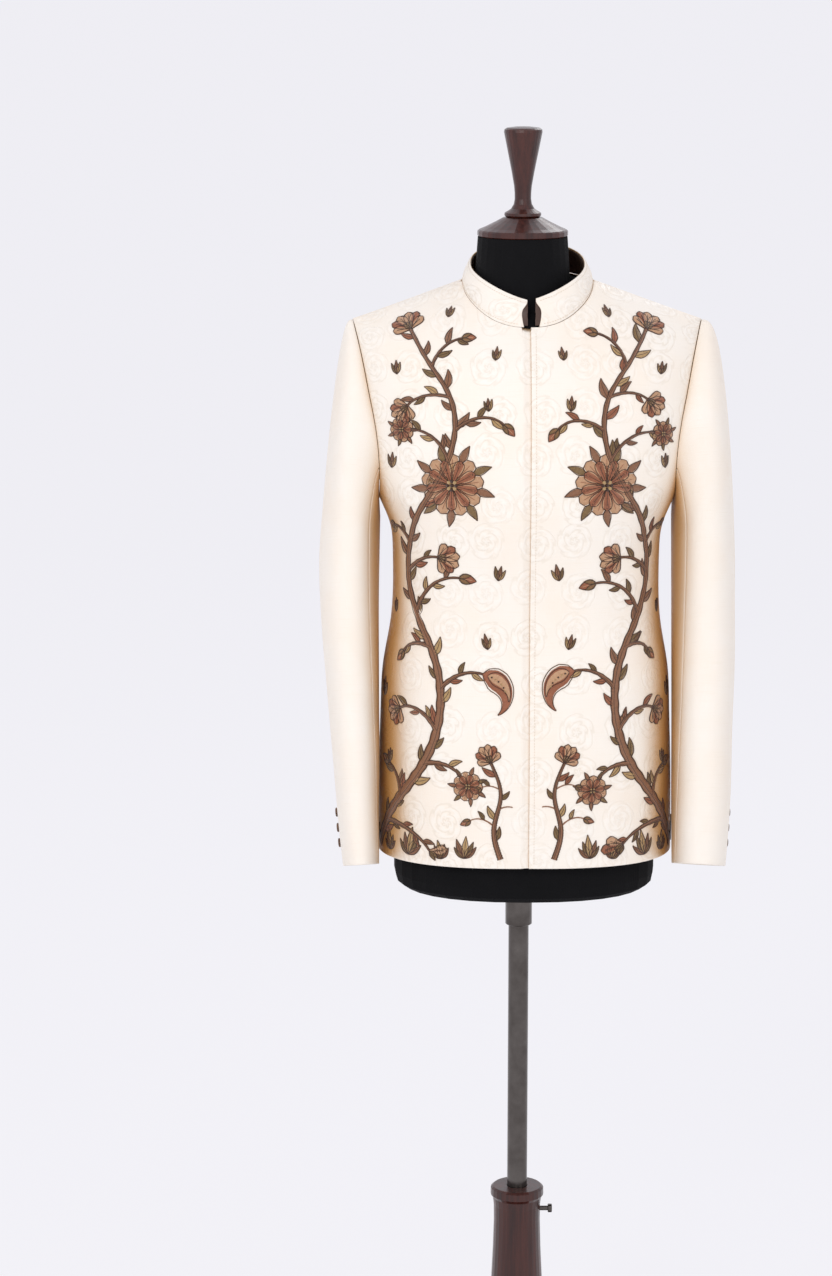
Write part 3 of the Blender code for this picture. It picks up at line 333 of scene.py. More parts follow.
def creased(points):
    """How far the cloth stands out of its plain form at each point."""
    moved = np.zeros(points.shape[:-1])
    for c in CREASES:
        start, end = np.array([c.x1, c.y1, c.z1]), np.array([c.x2, c.y2, c.z2])
        run = end - start
        share = np.clip(((points - start) @ run) / (run @ run), 0.0, 1.0)
        line = start + share[..., None] * run
        line[..., 0] += c.bow * 4 * share * (1 - share)
        away = np.linalg.norm((points - line) * np.array([1.0, 0.55, 1.0]), axis=-1)
        along = np.sin(pi * np.clip(share, 0.03, 0.97)) ** 0.7
        moved += c.depth * along * np.exp(-((away / (0.55 * c.width)) ** 2))
    return moved


# Cloth shells. An edge is rounded over half the wall, where the two faces of the cloth meet.
FACING_WIDTH = 0.032
EDGE_STOPS = np.array([0.12, 0.45, 1.0])


def stops(count, length, start=True, end=True):
    """Shares from 0 to 1: even ones, and closer ones where an edge of the cloth is rounded."""
    close = EDGE_STOPS * WALL / 2 / length
    parts = [np.linspace(0, 1, count + 1)] + [close] * start + [1 - close] * end
    return np.unique(np.round(np.concatenate(parts), 6))


def run_lengths(points, axis):
    """Distance along an axis of a grid of points from its first point."""
    steps = np.linalg.norm(np.diff(points, axis=axis), axis=-1)
    return np.concatenate([np.zeros_like(np.take(steps, [0], axis)), np.cumsum(steps, axis=axis)], axis=axis)


def edge_distance(points, first=True, last=True, low=True, high=True):
    """Distance of each point of a grid from those sides of it that are edges of the cloth."""
    across, along = run_lengths(points, 1), run_lengths(points, 0)
    nearest = np.full(points.shape[:-1], 1.0)
    for wanted, distance in (
        (first, across),
        (last, across[:, -1:] - across),
        (low, along),
        (high, along[-1:] - along),
    ):
        if wanted:
            nearest = np.minimum(nearest, distance)
    return nearest


class Cloth:
    """A sheet of cloth from grids of outer points. Points that coincide become one."""

    def __init__(self, name, wall=WALL):
        self.name, self.wall = name, wall
        self.parts, self.faces, self.count = [], [], 0

    def grid(self, points, normals, uv, edge, facing=None, flip=False):
        rows, columns = points.shape[:2]
        facing = np.ones(points.shape[:2]) if facing is None else facing
        numbers = self.count + np.arange(rows * columns).reshape(rows, columns)
        a, b, c, d = numbers[:-1, :-1], numbers[:-1, 1:], numbers[1:, 1:], numbers[1:, :-1]
        quads = np.stack([a, d, c, b] if flip else [a, b, c, d], -1).reshape(-1, 4)
        self.faces.append(quads)
        flat = [x.reshape(rows * columns, -1) for x in (points, normals, uv, edge, facing)]
        self.parts.append(np.concatenate(flat, axis=1))
        self.count += rows * columns

    def mirrored(self, name):
        """The same sheet on the other side of the middle."""
        other = Cloth(name, self.wall)
        other.count, other.faces = self.count, [f[:, ::-1] for f in self.faces]
        flip = np.ones(self.parts[0].shape[1])
        flip[[0, 3, 6]] = -1
        other.parts = [p * flip for p in self.parts]
        return other

    def join(self, other):
        self.faces += [f + self.count for f in other.faces]
        self.parts += other.parts
        self.count += other.count

    def build(self, materials, slot, shift=FIGURE_X):
        data, faces = np.concatenate(self.parts), np.concatenate(self.faces)
        _, kept, number = np.unique(
            np.round(data[:, :3], 7) + 0.0, axis=0, return_index=True, return_inverse=True
        )
        data, faces = data[kept], number.reshape(-1)[faces]
        points, normals, uv, edge, facing = data[:, :3], data[:, 3:6], data[:, 6:8], data[:, 8], data[:, 9]
        rim = rim_points(faces)
        half = self.wall / 2
        inside = np.minimum(edge, half)
        sunk = half - np.sqrt(np.maximum(half**2 - (half - inside) ** 2, 0.0))
        sunk[rim] = half
        outer = points - normals * sunk[:, None]
        inner = points - normals * (self.wall - sunk)[:, None]
        own = np.arange(len(points)) + len(points)
        own[rim] = rim
        all_faces = np.concatenate([faces, own[faces][:, ::-1]])
        vertices = np.concatenate([outer, inner]) + np.array([shift, 0, 0])
        inside_kind = np.where(facing[faces].min(axis=1) > FACING_WIDTH, 1, 0)
        kinds = np.concatenate([np.zeros(len(faces), int), inside_kind])
        return mesh_object(self.name, vertices, all_faces, materials, kinds, np.concatenate([uv, uv]))


def rim_points(faces):
    """The vertices on edges that only one face has."""
    edges = np.sort(np.stack([faces, np.roll(faces, -1, axis=1)], -1).reshape(-1, 2), axis=1)
    edges = edges[edges[:, 0] != edges[:, 1]]
    kinds, times = np.unique(edges, axis=0, return_counts=True)
    return np.unique(kinds[times == 1])


def mesh_object(name, vertices, faces, materials, kinds=None, uv=None, body=BODY, smoothed=True):
    """A mesh piece that rides on a body. Its faces are quads, or triangles with a corner named twice."""
    mesh = bpy.data.meshes.new(name)
    listed = [tuple(dict.fromkeys(f)) for f in np.asarray(faces).tolist()]
    used = [i for i, f in enumerate(listed) if len(f) > 2]
    mesh.from_pydata(np.asarray(vertices).tolist(), [], [listed[i] for i in used])
    for m in materials:
        mesh.materials.append(m)
    if kinds is not None:
        mesh.polygons.foreach_set("material_index", np.asarray(kinds)[used].astype(np.int32))
    if uv is not None:
        corners = np.zeros(len(mesh.loops), np.int32)
        mesh.loops.foreach_get("vertex_index", corners)
        layer = mesh.uv_layers.new(name="metres")
        layer.data.foreach_set("uv", np.asarray(uv)[corners].astype(np.float32).reshape(-1))
    mesh.polygons.foreach_set("use_smooth", np.full(len(mesh.polygons), smoothed))
    mesh.update()
    made = bpy.data.objects.new(name, mesh)
    bpy.context.scene.collection.objects.link(made)
    if body:
        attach(made, body)
    return made



SKIRT_ROWS = 96
CHEST_ROWS = 54
NECK_ROWS = 30
PANEL_COLUMNS = 64
LAP_COLUMNS = 20
SLEEVE_ROWS = 120
HEAD_ROWS = 44
SLEEVE_COLUMNS = 52


def body_rows(neck_row):
    """Heights of a panel's rows, as distances from its hem: up to the neckline, then up to the shoulder seam."""
    skirt = UNDERARM * stops(SKIRT_ROWS, UNDERARM, end=False)
    chest = UNDERARM + (neck_row - UNDERARM) * (np.arange(1, CHEST_ROWS + 1) / CHEST_ROWS) ** 1.2
    return np.concatenate([skirt, chest])


def neckline_stops(front):
    share = stops(NECK_ROWS, 0.08, start=False)[1:] ** 0.75
    quarter = pi / 2 * share[:-1]
    u, t = body_at_plan(*neck_plan(quarter if front else pi - quarter))
    return np.append(u, u_at_x(NECK_HALF_WIDTH, RIDGE)), np.append(t, RIDGE)


def lay_panel(u, t, sunk=0.0):
    """Points, normals and UVs of the body surface, off the side and shoulder seams by half a seam gap."""
    points, normals = body(u, t), body_normal(u, t)
    front = t <= RIDGE
    side = (u >= 1.0) & (np.minimum(t, 2 * RIDGE - t) <= UNDERARM + 1e-9)
    near = np.abs(t - RIDGE) < 1e-9
    points[..., 1] += np.where(side | near, np.where(front, -SEAM_GAP / 2, SEAM_GAP / 2), 0.0)
    points = points + normals * (creased(points) - sunk)[..., None]
    height = np.where(front, t, 2 * RIDGE - t)
    return points, normals, height


def widths_from_middle(u, t):
    """Length along the cloth from the middle line to each point of the rows."""
    share = np.linspace(0, 1, 25)[:, None, None]
    run = body(np.abs(u)[None] * share, t[None])
    return np.linalg.norm(np.diff(run, axis=0), axis=-1).sum(axis=0) * np.sign(u)


def front_panel(name, laps_over):
    """Half of the front on the +X side."""
    cloth = Cloth(name)
    lower = body_rows(NECK_FRONT_ROW)
    first_neck, t_neck = neckline_stops(front=True)
    t = np.concatenate([lower, t_neck])
    start_x = CLOSING_X if laps_over else DIP_START_X
    first = np.concatenate([u_at_x(start_x, lower), first_neck])
    last = u_at_armhole(t)
    share = stops(PANEL_COLUMNS, 0.26, start=True)
    u = first[:, None] + (last - first)[:, None] * share
    rows = np.broadcast_to(t[:, None], u.shape)
    points, normals, height = lay_panel(u, rows)
    edge = edge_distance(points, first=laps_over)
    wide = widths_from_middle(u, rows)
    from_edge = np.minimum(height, np.abs(wide) + 1.0 * (not laps_over))
    cloth.grid(points, normals, np.stack([wide, height], -1), edge, from_edge)
    if not laps_over:
        run = stops(LAP_COLUMNS, LAP_WIDTH + DIP_START_X, end=False)
        x = -LAP_WIDTH + (LAP_WIDTH + DIP_START_X) * run
        low_t = np.broadcast_to(lower[:, None], (len(lower), len(x)))
        u = u_at_x(np.broadcast_to(x, low_t.shape), low_t)
        u[:, -1] = first[: len(lower)]
        sunk = (WALL + LAYER_GAP) * smooth((DIP_START_X - x) / (DIP_START_X - CLOSING_X / 2))
        points, normals, height = lay_panel(u, low_t, np.broadcast_to(sunk, u.shape))
        edge = edge_distance(points, last=False)
        wide = widths_from_middle(u, low_t)
        cloth.grid(points, normals, np.stack([wide, height], -1), edge, height)
    return cloth


def back_panel():
    half = Cloth("back")
    lower = body_rows(2 * RIDGE - NECK_BACK_ROW)
    first_neck, t_neck = neckline_stops(front=False)
    t = np.concatenate([2 * RIDGE - lower, t_neck[:-1], [RIDGE + 1e-12]])
    first = np.concatenate([np.zeros(len(lower)), first_neck])
    last = u_at_armhole(t)
    u = first[:, None] + (last - first)[:, None] * stops(PANEL_COLUMNS, 0.26, start=False)
    rows = np.broadcast_to(t[:, None], u.shape)
    points, normals, height = lay_panel(u, rows)
    edge = edge_distance(points, first=False)
    wide = widths_from_middle(u, rows)
    half.grid(points, normals, np.stack([wide, height], -1), edge, height, flip=True)
    half.join(half.mirrored("back"))
    return half


# Collar
NECK_ANGLES = np.linspace(0, pi, 29)
neckline_z = spline(NECK_ANGLES, body(*body_at_plan(*neck_plan(NECK_ANGLES)))[:, 2:])
half_gap = spline([p.height for p in NOTCH], [(p.half_gap,) for p in NOTCH])


def collar(angle, height):
    """Points of the collar's outer face. Height 0 is the neck seam and 1 the top edge."""
    angle, height = np.broadcast_arrays(np.asarray(angle, float), np.asarray(height, float))
    turned = np.abs(np.arctan2(np.sin(angle), np.cos(angle)))
    low_x, low_y = neck_plan(angle)
    top_x, top_y = neck_plan(angle, COLLAR_TOP_HALF_WIDTH, COLLAR_TOP_FRONT, COLLAR_TOP_BACK)
    low_z = neckline_z(turned)[..., 0] + SEAM_GAP
    top_z = COLLAR_TOP_SIDE_Z + top_y * np.where(top_y < 0, COLLAR_TOP_FRONT_RISE, COLLAR_TOP_BACK_RISE)
    top_z = top_z + COLLAR_TOP_CORNER_RISE * np.maximum(np.sin(2 * turned), 0.0)
    low, top = np.stack([low_x, low_y, low_z], -1), np.stack([top_x, top_y, top_z], -1)
    out = np.stack([low_x, low_y, 0 * low_x], -1) / np.hypot(low_x, low_y)[..., None]
    h = height[..., None]
    return low + (top - low) * h + out * COLLAR_BULGE * 4 * h * (1 - h)


def collar_normal(angle, height, step=1e-3):
    along = collar(angle + step, height) - collar(angle - step, height)
    return unit(np.cross(along, collar(angle, height + step) - collar(angle, height - step)))


def angle_at_x(x, height):
    x, height = np.broadcast_arrays(np.asarray(x, float), np.asarray(height, float))
    return bisect(lambda a: collar(a, height)[..., 0] - x, np.zeros_like(x), np.full_like(x, pi / 2))


def collar_sheet(name, low, high, inward, closer, wall):
    cloth = Cloth(name, wall)
    h = low + (high - low) * stops(22, 0.04)
    gap = np.maximum(half_gap(h)[:, 0] - closer, LINING_LEAST_GAP if closer else 0.0)
    first = angle_at_x(gap + NOTCH_CENTRE_X, h)
    last = 2 * pi - angle_at_x(gap - NOTCH_CENTRE_X, h)
    angle = first[:, None] + (last - first)[:, None] * stops(190, 0.45)
    height = np.broadcast_to(h[:, None], angle.shape)
    normals = collar_normal(angle, height)
    points = collar(angle, height) - inward * normals
    length = run_lengths(points, 1)
    uv = np.stack([length - length[:, -1:] / 2, 0.66 + 0.045 * height], -1)
    cloth.grid(points, normals, uv, edge_distance(points, low=False), np.full(angle.shape, 1.0))
    return cloth


# Sleeves
def armhole_curve(front):
    """Shares of the length, and points, of half the armhole seam from the shoulder to the underarm."""
    neck_row = NECK_FRONT_ROW if front else 2 * RIDGE - NECK_BACK_ROW
    height = np.concatenate([np.linspace(UNDERARM, neck_row, 120), np.linspace(neck_row, RIDGE, 60)[1:]])[::-1]
    t = height if front else 2 * RIDGE - height
    points = body(u_at_armhole(t), t)
    lengths = run_lengths(points, 0)
    return lengths / lengths[-1], points


ARMHOLE_CURVES = (armhole_curve(True), armhole_curve(False))


def armhole_point(angle):
    """The armhole seam, 0 at the shoulder point, +pi at the underarm round the front and -pi round the back."""
    share = np.abs(angle) / pi
    sides = [np.stack([np.interp(share, s, p[:, k]) for k in range(3)], -1) for s, p in ARMHOLE_CURVES]
    return np.where((angle >= 0)[..., None], *sides) + np.array([SEAM_GAP, 0.0, 0.0])


class Sleeve:
    """One sleeve on the +X side. Angle 0 is its outer line, +90 degrees its front and 180 its inner line."""

    def __init__(self, rings, lean, side):
        self.lean, self.side = lean, side
        self.ring = spline([r.z for r in rings], [r[1:] for r in rings])
        self.cuff_z = rings[0].z

    def tube(self, angle, z):
        x_in, x_out, y_mid, half_depth, tilt = np.moveaxis(self.ring(z), -1, 0)
        across = signed_power(np.cos(angle), 2 / SLEEVE_ROUND)
        deep = signed_power(np.sin(angle), 2 / SLEEVE_ROUND)
        half_width = (x_out - x_in) / 2
        raised = tilt * (half_depth * deep - CUFF_SIDE_TILT * half_width * across)
        return np.stack([(x_in + x_out) / 2 + half_width * across, y_mid - half_depth * deep, z + raised], -1)

    def surface(self, angle, v):
        """v runs from 0 at the cuff to 1 at the biceps line and 2 at the armhole seam."""
        angle, v = np.broadcast_arrays(np.asarray(angle, float), np.asarray(v, float))
        angle = np.arctan2(np.sin(angle), np.cos(angle))
        arm = self.tube(angle, self.cuff_z + (BICEPS_Z - self.cuff_z) * np.minimum(v, 1.0))
        low, high = self.tube(angle, np.full_like(v, BICEPS_Z)), armhole_point(angle)
        turn = np.clip(v - 1, 0.0, 1.0) * pi / 2
        rounding = 1 + (HEAD_ROUND - 1) * np.cos(angle / 2) ** 2
        up = np.sin(turn) ** (2 / rounding)
        aside = 1 - np.maximum(np.cos(turn), 0.0) ** (2 / rounding)
        z = low[..., 2] + (high[..., 2] - low[..., 2]) * up
        x = low[..., 0] - self.lean * (z - low[..., 2]) * np.maximum(np.cos(angle), 0.0)
        head = np.stack(
            [x + (high[..., 0] - x) * aside, low[..., 1] + (high[..., 1] - low[..., 1]) * aside, z], -1
        )
        return np.where((v <= 1)[..., None], arm, head)

    def normal(self, angle, v, step=0.02):
        along_v = self.surface(angle, np.minimum(v + 0.1 * step, 2.0)) - self.surface(
            angle, np.maximum(v - 0.1 * step, 0.0)
        )
        along_angle = self.surface(angle + step, v) - self.surface(angle - step, v)
        return unit(np.cross(along_v, along_angle))

    def lay(self, angle, v, toward=None):
        """Points and normals of the creased sleeve, still on the +X side."""
        points, normals = self.surface(angle, v), self.normal(angle if toward is None else toward, v)
        world = points * np.array([self.side, 1.0, 1.0])
        return points + normals * creased(world)[..., None], normals

    def strip(self, name, start, end):
        cloth = Cloth(name)
        share = stops(SLEEVE_COLUMNS, 0.18)
        angle = start + SEAM_ANGLE + (end - start - 2 * SEAM_ANGLE) * share
        toward = start + (end - start) * share
        v = np.concatenate([stops(SLEEVE_ROWS, 0.42, end=False), 1 + stops(HEAD_ROWS, 0.2, start=False)[1:]])
        turn = CUFF_TWIST * np.maximum(1 - v, 0.0)[:, None] ** 1.5
        points, normals = self.lay(angle[None, :] + turn, v[:, None], toward[None, :] + turn)
        length = run_lengths(points, 0)
        across = run_lengths(points, 1)
        uv = np.stack([across + start * 0.05, length], -1)
        cloth.grid(points, normals, uv, edge_distance(points, high=False), length, flip=True)
        return cloth


# Materials
class Nodes:
    """Short calls that build one material's nodes."""

    def __init__(self, name, colour, roughness, **settings):
        self.material = bpy.data.materials.new(name)
        self.material.use_nodes = True
        self.tree = self.material.node_tree
        self.shader = self.tree.nodes["Principled BSDF"]
        self.set("Base Color", (*colour, 1.0))
        self.set("Roughness", roughness)
        for key, value in settings.items():
            self.set(key.replace("_", " "), (*value, 1.0) if isinstance(value, tuple) else value)

    def set(self, name, value):
        self.put(self.shader.inputs[name], value)

    def put(self, socket, value):
        if isinstance(value, bpy.types.NodeSocket):
            self.tree.links.new(value, socket)
        else:
            socket.default_value = value

    def add(self, kind, inputs=None, **settings):
        node = self.tree.nodes.new("ShaderNode" + kind)
        for key, value in settings.items():
            setattr(node, key, value)
        for key, value in (inputs or {}).items():
            self.put(node.inputs[key], value)
        return node

    def math(self, operation, a, b=0.0, clamp=False):
        node = self.add("Math", {0: a, 1: b}, operation=operation)
        node.use_clamp = clamp
        return node.outputs[0]

    def vector(self, operation, a, b=(0.0, 0.0, 0.0)):
        return self.add("VectorMath", {0: a, 1: b}, operation=operation).outputs[0]

    def mix(self, share, a, b):
        a, b = (tuple(x) + (1.0,) if isinstance(x, tuple) and len(x) == 3 else x for x in (a, b))
        node = self.add("Mix", data_type="RGBA")
        for socket, value in ((node.inputs[0], share), (node.inputs[6], a), (node.inputs[7], b)):
            self.put(socket, value)
        return node.outputs[2]

    def between(self, value, low, high, to_low=0.0, to_high=1.0):
        """The value taken smoothly from low..high to to_low..to_high."""
        inputs = {"Value": value, "From Min": low, "From Max": high, "To Min": to_low, "To Max": to_high}
        return self.add("MapRange", inputs, interpolation_type="SMOOTHSTEP").outputs[0]

    def noise(self, vector, scale, detail=3.0, roughness=0.55):
        inputs = {"Vector": vector, "Scale": scale, "Detail": detail, "Roughness": roughness}
        return self.add("TexNoise", inputs).outputs[0]

    def wave(self, vector, period, direction="X", distortion=0.0):
        inputs = {"Vector": vector, "Scale": pi / 10 / period, "Distortion": distortion, "Detail Scale": 2.0}
        return self.add("TexWave", inputs, bands_direction=direction).outputs[1]

    def uv(self):
        return self.add("UVMap", uv_map="metres").outputs[0]

    def place(self):
        return self.add("TexCoord").outputs["Object"]

    def scaled(self, vector, x, y, z):
        return self.vector("MULTIPLY", vector, (x, y, z))

    def bumped(self, layers):
        """Adds bumps of (height, strength, distance in metres)."""
        normal = None
        for height, strength, distance in layers:
            inputs = {"Height": height, "Strength": strength, "Distance": distance}
            if normal is not None:
                inputs["Normal"] = normal
            normal = self.add("Bump", inputs).outputs[0]
        self.set("Normal", normal)


def brocade(name, figured):
    """Cream silk with a fine weave and slubs, and with a self-coloured rose jacquard where it is figured."""
    n = Nodes(name, CREAM, 0.52, Sheen_Weight=0.12, Sheen_Roughness=0.35, Sheen_Tint=(1.0, 0.93, 0.82))
    n.set("Specular IOR Level", 0.40)
    uv = n.uv()
    warp, weft = n.wave(uv, 0.00085, "X", 0.4), n.wave(uv, 0.00085, "Y", 0.4)
    weave = n.math("MULTIPLY", warp, weft)
    slub = n.noise(n.scaled(uv, 26.0, 700.0, 1.0), 1.0, 4.0)
    ply = n.noise(n.scaled(uv, 900.0, 40.0, 1.0), 1.0, 3.0)
    cloud = n.noise(uv, 9.0, 4.0)
    colour = n.mix(n.between(cloud, 0.32, 0.70), CREAM, CREAM_WARM)
    colour = n.mix(n.between(slub, 0.52, 0.78, 0.0, 0.30), colour, CREAM_DEEP)
    colour = n.mix(n.between(ply, 0.50, 0.80, 0.0, 0.25), colour, CREAM_LIGHT)
    bumps = [(weave, 0.35, 0.00022), (slub, 0.30, 0.0004)]
    roughness = n.between(slub, 0.3, 0.8, 0.46, 0.60)
    if figured:
        line, petal = rose_pattern(n, uv)
        # Painted light: random large patches where the jacquard lines are darker or fainter, standing in for where the
        # light brings out the figure
        painted_light_patches = n.between(n.noise(uv, 6.5, 2.0), 0.36, 0.62, 0.25, 1.0)
        colour = n.mix(n.math("MULTIPLY", petal, 0.45), colour, CREAM_LIGHT)
        colour = n.mix(n.math("MULTIPLY", line, n.math("MULTIPLY", painted_light_patches, 0.42)), colour, CREAM_LINE)
        roughness = n.math("SUBTRACT", roughness, n.math("MULTIPLY", petal, 0.16))
        bumps += [(n.math("SUBTRACT", petal, line), 0.40, 0.0005)]
    # Painted shade: where ambient occlusion finds folds and neighbouring cloth close by, the base colour is painted
    # golden brown, in place of the golden light that goes from fold to fold of the silk
    painted_shade = n.add("AmbientOcclusion", {"Distance": PAINTED_SHADE_REACH}, samples=6).outputs["AO"]
    colour = n.mix(n.between(painted_shade, 0.25, 0.84, 1.0, 0.0), colour, CREAM_PAINTED_SHADE)
    n.set("Base Color", colour)
    n.set("Roughness", roughness)
    n.bumped(bumps)
    return n.material


ROSE_PITCH = 0.052
ROSE_RADIUS = 0.0245
# How far the ambient occlusion of the golden painted shade looks for nearby cloth
PAINTED_SHADE_REACH = 0.11


def rose_pattern(n, uv):
    """Roses of wavy rings of petals round scattered centres: the lines between the petals, and the petals."""
    shaken = n.add("TexNoise", {"Vector": uv, "Scale": 55.0}).outputs[1]
    drift = n.vector("SCALE", n.vector("SUBTRACT", shaken, (0.5, 0.5, 0.5)))
    drift.node.inputs["Scale"].default_value = 0.0075
    flat = n.scaled(n.vector("ADD", uv, drift), 1.0, 0.94, 0.0)
    inputs = {"Vector": flat, "Scale": 1 / ROSE_PITCH, "Randomness": 0.30}
    centre = n.add("TexVoronoi", inputs, voronoi_dimensions="2D").outputs["Position"]
    offset = n.vector("SUBTRACT", flat, centre)
    parts = n.add("SeparateXYZ", {0: offset}).outputs
    radius = n.add("VectorMath", {0: offset}, operation="LENGTH").outputs[1]
    angle = n.math("ARCTAN2", parts[1], parts[0])
    turn = n.math("ADD", n.math("MULTIPLY", angle, 2.5), n.math("MULTIPLY", radius, 330.0))
    scallop = n.math("ABSOLUTE", n.math("SINE", turn))
    wavy = n.math("SUBTRACT", radius, n.math("MULTIPLY", scallop, 0.0034))
    rings = n.math("SINE", n.math("MULTIPLY", wavy, 2 * pi / 0.0082))
    inside = n.between(radius, ROSE_RADIUS * 0.86, ROSE_RADIUS, 1.0, 0.0)
    line = n.math("MULTIPLY", n.between(rings, 0.55, 0.98), inside)
    petal = n.math("MULTIPLY", n.between(rings, 0.1, -0.8), inside)
    return line, petal


def satin_lining():
    n = Nodes("lining", (0.050, 0.022, 0.013), 0.36, Sheen_Weight=0.15, Sheen_Tint=(0.9, 0.6, 0.45))
    uv = n.uv()
    twill = n.wave(uv, 0.0007, "DIAGONAL", 0.3)
    cloud = n.noise(uv, 30.0)
    n.set("Base Color", n.mix(cloud, (0.034, 0.014, 0.008), (0.075, 0.034, 0.020)))
    n.set("Roughness", n.between(cloud, 0.2, 0.8, 0.30, 0.46))
    n.bumped([(twill, 0.3, 0.0002), (n.noise(uv, 140.0), 0.12, 0.0008)])
    return n.material


def thread(name, dark, light, rough=0.40):
    """Silk thread laid side by side: u runs along the stitched form and v across it."""
    n = Nodes(name, light, rough, Sheen_Weight=0.25, Sheen_Roughness=0.3)
    n.set("Specular IOR Level", 0.55)
    uv = n.uv()
    parts = n.add("SeparateXYZ", {0: uv}).outputs
    slant = n.math("ADD", parts[0], n.math("MULTIPLY", n.math("ABSOLUTE", parts[1]), 0.55))
    along = n.add("CombineXYZ", {0: slant, 1: 0.0, 2: 0.0}).outputs[0]
    strands = n.wave(along, 0.00085, "X", 0.6)
    blotch = n.noise(n.scaled(uv, 1.0, 0.35, 1.0), 420.0, 2.0)
    # Painted shade: the grooves between the strands get the darker colour and the crests the lighter one, mixed with
    # random blotches of tone
    share = n.math("ADD", n.math("MULTIPLY", strands, 0.45), n.math("MULTIPLY", blotch, 0.55), clamp=True)
    n.set("Base Color", n.mix(n.between(share, 0.25, 0.80), dark, light))
    n.set("Roughness", n.between(blotch, 0.3, 0.7, rough - 0.06, rough + 0.12))
    n.bumped([(strands, 0.8, 0.00035), (blotch, 0.25, 0.0004)])
    return n.material


def jersey():
    n = Nodes("form_cover", (0.004, 0.004, 0.005), 0.85, Sheen_Weight=0.012, Sheen_Roughness=0.5)
    n.set("Specular IOR Level", 0.10)
    place = n.place()
    parts = n.add("SeparateXYZ", {0: place}).outputs
    round_about = n.math("MULTIPLY", n.math("ARCTAN2", parts[0], parts[1]), 0.057)
    flat = n.add("CombineXYZ", {0: round_about, 1: parts[2], 2: 0.0}).outputs[0]
    ribs = n.wave(flat, 0.0011, "X", 0.5)
    loops = n.wave(flat, 0.0016, "Y", 0.5)
    cloud = n.noise(place, 22.0)
    n.set("Base Color", n.mix(cloud, (0.0030, 0.0030, 0.0036), (0.0070, 0.0070, 0.0078)))
    n.bumped([(n.math("MULTIPLY", ribs, loops), 0.5, 0.0004), (n.noise(place, 60.0), 0.1, 0.002)])
    return n.material


def mahogany():
    """Turned mahogany under clear lacquer."""
    n = Nodes("polished_wood", (0.040, 0.009, 0.006), 0.34, Coat_Weight=0.35, Coat_Roughness=0.10)
    n.set("Specular IOR Level", 0.32)
    place = n.place()
    fibre = n.noise(n.scaled(place, 210.0, 210.0, 7.0), 1.0, 6.0, 0.62)
    pores = n.noise(n.scaled(place, 1100.0, 1100.0, 40.0), 1.0, 2.0)
    broad = n.noise(n.scaled(place, 38.0, 38.0, 4.0), 1.0, 2.0)
    figure = n.math("ADD", n.math("MULTIPLY", fibre, 0.6), n.math("MULTIPLY", broad, 0.4))
    colour = n.mix(n.between(figure, 0.30, 0.72), (0.018, 0.0038, 0.0030), (0.066, 0.0145, 0.0090))
    colour = n.mix(n.between(pores, 0.62, 0.74, 0.0, 0.4), colour, (0.010, 0.0028, 0.0022))
    n.set("Base Color", colour)
    n.set("Roughness", n.between(fibre, 0.3, 0.8, 0.28, 0.42))
    n.bumped([(pores, 0.06, 0.0003), (n.noise(place, 35.0), 0.04, 0.002)])
    return n.material


def bright_metal():
    """Polished steel tube with faint marks drawn round it."""
    n = Nodes("chrome", (0.10, 0.088, 0.082), 0.2, Metallic=1.0)
    place = n.place()
    drawn = n.noise(n.scaled(place, 30.0, 30.0, 1600.0), 1.0, 3.0)
    smudge = n.noise(place, 45.0)
    n.set("Base Color", n.mix(smudge, (0.050, 0.042, 0.038), (0.170, 0.155, 0.145)))
    n.set("Roughness", n.between(smudge, 0.3, 0.75, 0.12, 0.26))
    n.bumped([(drawn, 0.08, 0.0002)])
    return n.material


def horn():
    n = Nodes("button", (0.09, 0.040, 0.020), 0.28, Coat_Weight=0.4, Coat_Roughness=0.12)
    place = n.place()
    swirl = n.noise(n.scaled(place, 1.0, 1.0, 2.4), 260.0, 4.0)
    n.set("Base Color", n.mix(n.between(swirl, 0.3, 0.7), (0.040, 0.016, 0.008), (0.17, 0.082, 0.040)))
    n.set("Roughness", n.between(swirl, 0.3, 0.7, 0.22, 0.38))
    n.bumped([(n.noise(place, 700.0), 0.12, 0.0003)])
    return n.material


CREAM = (0.890, 0.835, 0.755)
CREAM_WARM = (0.890, 0.805, 0.700)
CREAM_LIGHT = (0.920, 0.880, 0.815)
CREAM_DEEP = (0.820, 0.725, 0.590)
CREAM_LINE = (0.740, 0.660, 0.550)
# Golden brown painted shade for folds and for the gaps between the sleeves and the body
CREAM_PAINTED_SHADE = (0.590, 0.330, 0.105)

FIGURED, PLAIN = brocade("brocade_figured", True), brocade("brocade_plain", False)
LINING = satin_lining()
HORN = horn()
SEWING = thread("sewing_thread", (0.62, 0.50, 0.36), (0.86, 0.76, 0.62))
for node, made in (
    ("form", jersey()),
    ("chrome", bright_metal()),
    ("polished_wood", mahogany()),
):
    for name in {"form": ["form"], "chrome": ["pole", "form_socket", "thumbscrew"]}.get(
        node, ["neck_cap", "finial", "column", "base"]
    ):
        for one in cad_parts[name].material_slots:
            one.material = made

